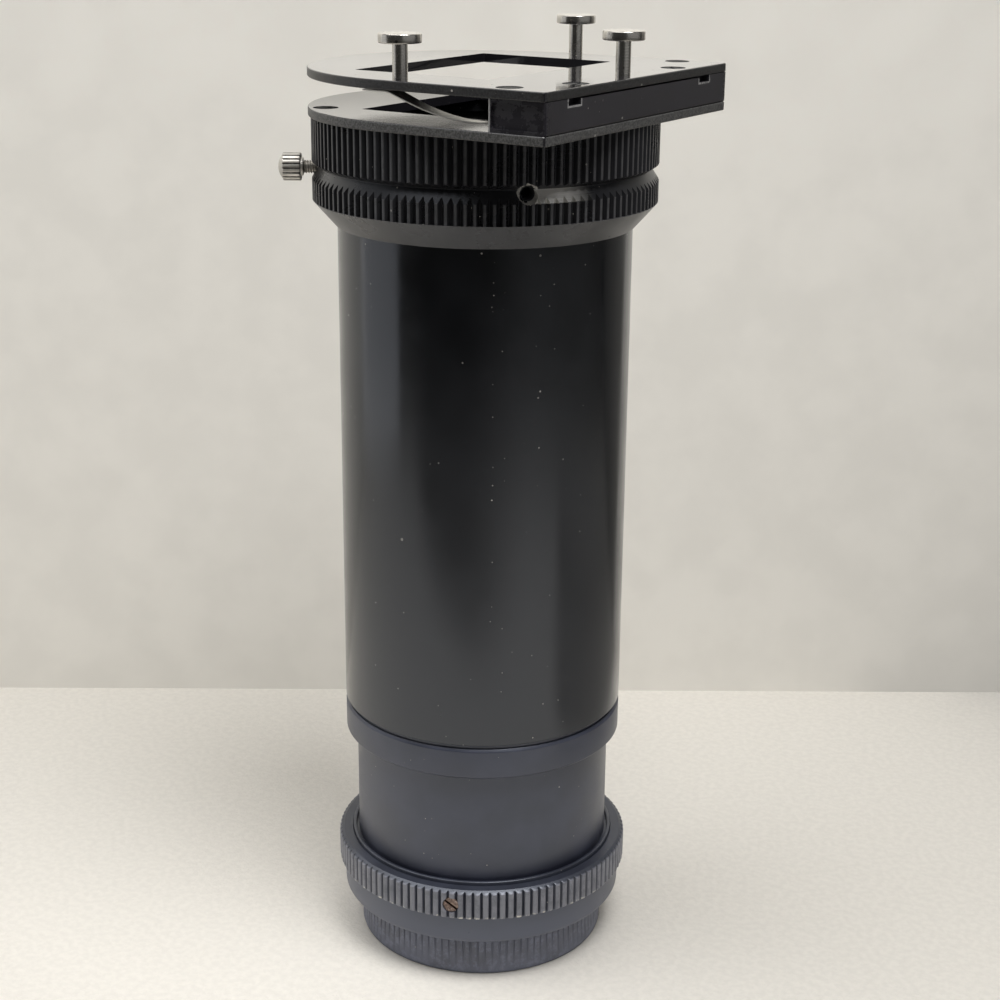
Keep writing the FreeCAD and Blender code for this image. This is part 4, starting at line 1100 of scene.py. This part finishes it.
# ---- head ring and clamp --------------------------------------------------------------------------
class BuildHeadRing(bpy.types.Operator):
    """Knurled head ring with its V groove, cone and radial holes"""
    bl_idname = "duplicator.head_ring"
    bl_label = "Head ring"

    def execute(self, context):
        knurl = context.scene.knurl_sizes
        r, depth = reach("head_ring"), knurl.head_depth / MM
        foot, top = span("head_ring")
        cone = [(TUBE_SEAT, foot), (TUBE_SEAT + 0.4, foot), (r, CONE_TOP)]
        knurl_foot = CONE_TOP + 0.05
        bore, seat = 23.2, 157.4
        outline = soften([(r, knurl_foot), (r, GROOVE_FOOT), (r - 1.45, GROOVE_BOTTOM, 0.15), (r, 151.75),
                          (r, top), (bore, top), (bore, seat), (TUBE_SEAT, seat)])
        land, valley = grooved([(r - depth, knurl_foot)] + outline + cone[:1], r - depth)
        land, valley = cone + land[1:], cone + valley[1:]
        piece = ribbed("head_ring_body", land, valley, knurl.head_ribs,
                       [(-0.17, 0.08), (-0.09, 0.0), (0.09, 0.0), (0.17, 0.08), (0.45, 0.95), (0.55, 0.95)])
        for angle in (CLAMP, SPARE_HOLE):
            place = radial(angle, CLAMP_HEIGHT)
            drill(piece, place, CLAMP_HOLE, 25.5, r + 1)
            bore_out(piece, place, (0, 29.0), (1.0, 29.0), (1.7, 29.95), (1.7, 32.0), (0, 32.0))
        for x, y in ring_screw_places():
            drill(piece, upright(x, y), TAPPED, 155.0, top + 1)
        smooth_again(piece)
        fit(piece, "stage", "black_metal", head_ring_material(), "head_ring")
        self.spare_thread()
        return {"FINISHED"}

    def spare_thread(self):
        """Rings of thread inside the spare hole."""
        first, turns, pitch = 26.7, 6, bpy.context.scene.knurl_sizes.thread_pitch / MM
        radii = CLAMP_HOLE - 0.01, TAPPED - 0.01
        piece = turned("spare_hole_thread", [(radii[i % 2], first + i * pitch / 2)
                                             for i in range(2 * turns + 1)], FINE_STEPS)
        set_in(piece, radial(SPARE_HOLE, CLAMP_HEIGHT))
        fit(piece, "stage", "black_metal", anodised("anodised_thread", LENS_BLACK, 0.34, 0.12, 0.4))


class BuildThumbScrew(bpy.types.Operator):
    """Knurled thumb screw on its threaded shank, and the brass shoe under it"""
    bl_idname = "duplicator.thumb_screw"
    bl_label = "Thumb screw"

    def execute(self, context):
        knurl = context.scene.knurl_sizes
        r, end, head, depth, crown, slope = THUMB_RADIUS, THUMB_END, 32.85, 0.3, 0.9, radians(35)
        dome = [(2.25 * sin(a) / sin(slope), end + crown * (cos(a) - cos(slope)) / (1 - cos(slope)))
                for a in (radians(30), radians(22), radians(14), radians(7))]
        land = [(0, head), (r - 0.15, head), (r, head + 0.15), (r, end - 0.15), (r - 0.12, end),
                (r - depth, end + 0.02)] + dome + [(0, end + crown)]
        valley = [(min(p[0], r - depth), p[1]) for p in land]
        grip = ribbed("thumb_screw_body", land, valley, knurl.thumb_ribs,
                      [(-0.27, 0.05), (-0.2, 0.0), (0.2, 0.0), (0.27, 0.05), (0.42, 0.95), (0.58, 0.95)])
        under, tip, pitch = head - 0.4, 27.65, knurl.thread_pitch / MM
        collar = turned("collar", [(0, under), (1.6, under, 0.1), (1.6, head + 0.05), (0, head + 0.05)],
                        FINE_STEPS, closed=False)
        shank = self.thread(1.2, 0.22, pitch, tip, int((under - tip) / pitch))
        piece = smooth_again(set_in(join(grip, collar, shank), radial(CLAMP, CLAMP_HEIGHT)))
        fit(piece, "screw", "nickel", thumb_screw_material(), "thumb_screw")
        finish_node("clamp_shoe", brass_material())
        return {"FINISHED"}

    def thread(self, radius, depth, pitch, foot, turns):
        """Helical thread: one V profile swept by the Screw modifier."""
        piece = blank("shank")
        root = (radius - depth) * MM
        chain([(root, 0, foot * MM), (radius * MM, 0, (foot + pitch / 2) * MM),
               (root, 0, (foot + pitch) * MM)])
        bpy.ops.object.mode_set(mode="OBJECT")
        step = piece.modifiers.new("helix", "SCREW")
        step.screw_offset = pitch * MM
        step.iterations = turns
        step.steps = step.render_steps = 32
        step.use_merge_vertices = True
        step.merge_threshold = MERGE
        bpy.ops.object.modifier_apply(modifier=step.name)
        bpy.ops.object.mode_set(mode="EDIT")
        bpy.ops.mesh.select_all(action="SELECT")
        bpy.ops.mesh.remove_doubles(threshold=MERGE)
        bpy.ops.mesh.fill_holes(sides=0)
        return settle(piece, 60)


# ---- stage ----------------------------------------------------------------------------------------
def post_places():
    """Name, solid and place of each post: the side posts stand mirrored over the leaf springs."""
    low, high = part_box("end_post")
    end = (low.x + high.x) / 2 / MM
    low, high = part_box("side_posts")
    offset, line = (low.x + high.x) / 2 / MM, high.y / MM - (high.x - low.x) / 2 / MM
    return [("end_post_pin", "end_post", end, 0.0), ("side_post_pin_left", "side_posts", offset, -line),
            ("side_post_pin_right", "side_posts", offset, line)]


def block_screw_places():
    return [(x, side * y) for x, y in ((22.85, 28.2), (28.1, 16.7)) for side in (-1, 1)]


def ring_screw_places():
    return [(SCREW_CIRCLE * cos(radians(a)), SCREW_CIRCLE * sin(radians(a))) for a in (45, 135, 225, 315)]


def plate(name, low, thick, window, edge):
    """Sheet with one round end and one square end, a window and broken rims."""
    corner = 0.8
    turns = [radians(i * 1.5) for i in range(121)]
    points = [(-PLATE_ROUND * sin(a), PLATE_ROUND * cos(a)) for a in turns]
    for side in (-1, 1):
        bend = [(PLATE_SQUARE - corner * (1 - sin(a)), side * (PLATE_ROUND - corner * (1 - cos(a))))
                for a in turns[0:61:15]]
        points += bend if side < 0 else bend[::-1]
    piece = blank(name)
    chain([(x * MM, y * MM, low * MM) for x, y in points + points[:1]])
    fill_chain()
    bpy.ops.mesh.extrude_region_move(TRANSFORM_OT_translate={"value": (0, 0, thick * MM)})
    settle(piece)
    bevel_edges(piece, lambda a, b: abs(a.z - b.z) < 0.01, edge)
    hole = box_piece("window", (-window[0] / 2, -window[1] / 2, low - 1),
                     (window[0] / 2, window[1] / 2, low + thick + 1))
    bevel_edges(hole, lambda a, b: abs(a.z - b.z) > 1, 0.4)
    return cut(piece, hole)


def countersink(piece, low, top, x, y):
    """Cut a screw's hole and the seat of its head, 0.1 mm below the face."""
    sunk, cone, wide = top - 0.1, 1.2, 2.23
    bore_out(piece, upright(x, y), (0, low - 1), (TAPPED, low - 1), (TAPPED, sunk - cone), (wide, sunk),
             (wide, top + 1), (0, top + 1))


class BuildPlates(bpy.types.Operator):
    """Enamelled stage plates with windows, countersinks and post holes"""
    bl_idname = "duplicator.plates"
    bl_label = "Stage plates"

    def execute(self, context):
        stage = context.scene.stage_sizes
        thick, width, edge = stage.plate_thick / MM, stage.window_width / MM, stage.plate_edge / MM
        low, high = span("lower_plate")[0], span("upper_plate")[0]
        lower = plate("lower_plate_sheet", low, thick, (width, stage.lower_window / MM), edge)
        for x, y in ring_screw_places():
            countersink(lower, low, low + thick, x, y)
        for x, y in block_screw_places():
            drill(lower, upright(x, y), TAPPED, low - 1, low + thick + 1)
        smooth_again(lower, 10)
        enamel = enamel_material("enamel_on_sheet", 0.06, "#4d4d4d", 0.5)
        fit(lower, "stage", "black_plate", enamel, "lower_plate")
        upper = plate("upper_plate_sheet", high, thick, (width, stage.upper_window / MM), edge)
        for x, y in block_screw_places():
            countersink(upper, high, high + thick, x, y)
        for _, _, x, y in post_places():
            drill(upper, upright(x, y), POST_HOLE, high - 1, high + thick + 1)
        smooth_again(upper, 10)
        enamel = enamel_material("gloss_enamel_on_sheet", 0.03, "#29292a", 0.4)
        fit(upper, "stage", "black_plate", enamel, "upper_plate")
        return {"FINISHED"}


class BuildStopBlock(bpy.types.Operator):
    """Bar between the plates, with shallow pockets in its ends and notches in its outer face"""
    bl_idname = "duplicator.stop_block"
    bl_label = "Stop block"

    def execute(self, context):
        low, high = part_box("stop_block")
        x0, y0, z0, x1, y1, z1 = [v / MM for v in (*low, *high)]
        margin = 0.55
        piece = box_piece("stop_block_bar", (x0, y0, z0), (x1, y1, z1))
        bevel_edges(piece, lambda a, b: abs(a.z - b.z) > 1 or (
            min(a.x, b.x) > x1 - 0.01 and max(a.z, b.z) < z0 + 0.01), 0.3, 2)
        for side in (-1, 1):
            wall, middle = side * y1, side * NOTCH_PLACE
            pocket = box_piece("pocket", (x0 + margin, min(wall - side * 0.5, wall + side), z0 + margin),
                               (x1 - margin, max(wall - side * 0.5, wall + side), z1 - margin))
            bevel_edges(pocket, lambda a, b: abs(a.y - b.y) > 0.2, 0.7, 5)
            notch = box_piece("notch", (x1 - 1.5, middle - NOTCH_HALF, z1 - 1.1),
                              (x1 + 1, middle + NOTCH_HALF, z1 + 1))
            cut(piece, pocket, notch)
        cut(piece, box_piece("slit", (x1 - 2.5, -NOTCH_PLACE, z1 - 0.22), (x1 + 1, NOTCH_PLACE, z1 + 1)))
        for x, y in block_screw_places():
            drill(piece, upright(x, y), TAPPED, z0 - 1, z1 + 1)
        drill(piece, upright(*post_places()[0][2:]), POST_HOLE, z1 - 3.7, z1 + 1)
        smooth_again(piece, 10)
        fit(piece, "stage", "black_plate", block_material(), "stop_block")
        return {"FINISHED"}


class BuildPlateScrews(bpy.types.Operator):
    """Slotted countersunk screws of both plates"""
    bl_idname = "duplicator.plate_screws"
    bl_label = "Plate screws"

    def execute(self, context):
        material, shank, head, cone = black_screw_material(), 1.0, 2.2, 1.2
        for group, places in (("lower", ring_screw_places()), ("upper", block_screw_places())):
            node = group + "_plate_screws"
            low, top = span(node)
            model = turned("plate_screw", [
                (0, low), (shank, low), (shank, top - cone), (head, top), (0, top)], FINE_STEPS, closed=False)
            smooth_again(slotted(model, top, 3, 20))
            for piece in copies(model, [
                    ("%s_plate_screw_%d" % (group, i + 1),
                     upright(x, y) @ Matrix.Rotation(radians(37 * i), 4, "Z"))
                    for i, (x, y) in enumerate(places)]):
                fit(piece, "stage", "black_screw", material, node)
        return {"FINISHED"}


class BuildPosts(bpy.types.Operator):
    """Headed nickel posts: one on the block, two riveted over the leaf springs"""
    bl_idname = "duplicator.posts"
    bl_label = "Posts"

    def execute(self, context):
        material = plated_material()
        shank = context.scene.stage_sizes.post_radius / MM
        for node in ("end_post", "side_posts"):
            low, top = span(node)
            head, under = 3.6, top - 1.55
            model = turned("post", [
                (0, top), (head, top, 0.25), (head, under, 0.25), (shank + 0.12, under, 0.1),
                (shank, under - 0.2), (shank, low + 0.1), (shank - 0.1, low), (0, low)],
                FINE_STEPS, closed=False)
            places = [(name, upright(x, y)) for name, of, x, y in post_places() if of == node]
            for piece in copies(model, places):
                fit(piece, "stage", "nickel", material, node)
        return {"FINISHED"}


class BuildLeafSprings(bpy.types.Operator):
    """Bent and tapered steel strips, which press the slide on the gate"""
    bl_idname = "duplicator.leaf_springs"
    bl_label = "Leaf springs"

    def execute(self, context):
        sizes, material = context.scene.stage_sizes, spring_material()
        half = sizes.leaf_thick / MM / 2
        path = self.path("leaf_spring_left", half)
        low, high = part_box("leaf_spring_left")
        model = blank("leaf_spring_strip")
        loop = [(x - half * sin(t), z + half * cos(t)) for x, z, t in path]
        loop += [(x + half * sin(t), z - half * cos(t)) for x, z, t in path][::-1]
        chain([(x * MM, low.y, z * MM) for x, z in loop + loop[:1]])
        fill_chain()
        bpy.ops.mesh.extrude_region_move(TRANSFORM_OT_translate={"value": (0, high.y - low.y, 0)})
        self.taper(model, path, (low + high) / 2, sizes.leaf_tip / (high.y - low.y))
        settle(model)
        step = model.modifiers.new("broken edges", "BEVEL")
        step.width = 0.05 * MM
        step.segments = 2
        step.limit_method = "ANGLE"
        step.angle_limit = radians(50)
        bpy.context.view_layer.objects.active = model
        bpy.ops.object.modifier_apply(modifier=step.name)
        smooth_again(model)
        sides = ["left", "right"]
        for side, piece in zip(sides, copies(model, [
                ("leaf_spring_strip_" + side, Matrix.Translation(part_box("leaf_spring_" + side)[0] - low))
                for side in sides])):
            fit(piece, side + "_leaf", "spring_steel", material, "leaf_spring_" + side)
        return {"FINISHED"}

    def taper(self, piece, path, centre, share):
        """Narrow the strip evenly from its tab's free end to its tip."""
        mesh = bmesh.from_edit_mesh(piece.data)
        first, last = path[1][0], path[-1][0]
        for x, z, _ in path[2:]:
            bpy.ops.mesh.select_all(action="DESELECT")
            for vert in mesh.verts:
                vert.select = hypot(vert.co.x / MM - x, vert.co.z / MM - z) < 0.15
            bmesh.update_edit_mesh(piece.data)
            narrow = 1 - (1 - share) * (x - first) / (last - first)
            bpy.ops.transform.resize(value=(1, narrow, 1), center_override=centre)

    def path(self, node, half):
        """Middle line of the strip as (x, z, heading): tab, short bend, slope, long bend, curled tip."""
        low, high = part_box(node)
        x, z, heading = low.x / MM, high.z / MM - half, 0.0
        tab, short, long, slope = 4.4, 1.2, 13.3, radians(20)
        drop = z - half - low.z / MM
        straight = (drop - (short + long) * (1 - cos(slope)) / slope) / sin(slope)
        points = [(x, z, 0.0)]
        for run, turn, bits in ((tab, 0.0, 1), (short, -slope, 4), (straight, 0.0, 1), (long, slope, 10),
                                (2.0, slope, 5)):
            for _ in range(bits):
                heading += turn / bits / 2
                x, z = x + run / bits * cos(heading), z + run / bits * sin(heading)
                heading += turn / bits / 2
                points.append((x, z, heading))
        return points


# ---- panel, registration and run ------------------------------------------------------------------
STEPS_OF_BUILD = (BuildStudio, BuildRearCap, BuildMountRing, BuildSetScrews, BuildTubes, BuildLens,
                  BuildHeadRing, BuildThumbScrew, BuildPlates, BuildStopBlock, BuildPlateScrews, BuildPosts,
                  BuildLeafSprings)
GROUPS = {"duplicator_colours": DuplicatorColours, "tube_sizes": TubeSizes, "knurl_sizes": KnurlSizes,
          "stage_sizes": StageSizes, "studio_sizes": StudioSizes}


class DuplicatorPanel(bpy.types.Panel):
    """Sizes, colours and build steps of the slide duplicator"""
    bl_idname = "VIEW3D_PT_duplicator"
    bl_label = "Slide Duplicator"
    bl_space_type = "VIEW_3D"
    bl_region_type = "UI"
    bl_category = "Duplicator"

    def draw(self, context):
        for group in GROUPS:
            box = self.layout.box()
            sizes = getattr(context.scene, group)
            for key in sizes.__annotations__:
                box.prop(sizes, key)
        for step in STEPS_OF_BUILD:
            self.layout.operator(step.bl_idname)


def register():
    for group, kind in GROUPS.items():
        bpy.utils.register_class(kind)
        setattr(bpy.types.Scene, group, bpy.props.PointerProperty(type=kind))
    for kind in (*STEPS_OF_BUILD, DuplicatorPanel):
        bpy.utils.register_class(kind)


def unregister():
    for kind in (DuplicatorPanel, *STEPS_OF_BUILD[::-1]):
        bpy.utils.unregister_class(kind)
    for group, kind in GROUPS.items():
        delattr(bpy.types.Scene, group)
        bpy.utils.unregister_class(kind)


def main():
    register()
    for step in STEPS_OF_BUILD:
        area, name = step.bl_idname.split(".")
        getattr(getattr(bpy.ops, area), name)()


if __name__ == "__main__":
    main()
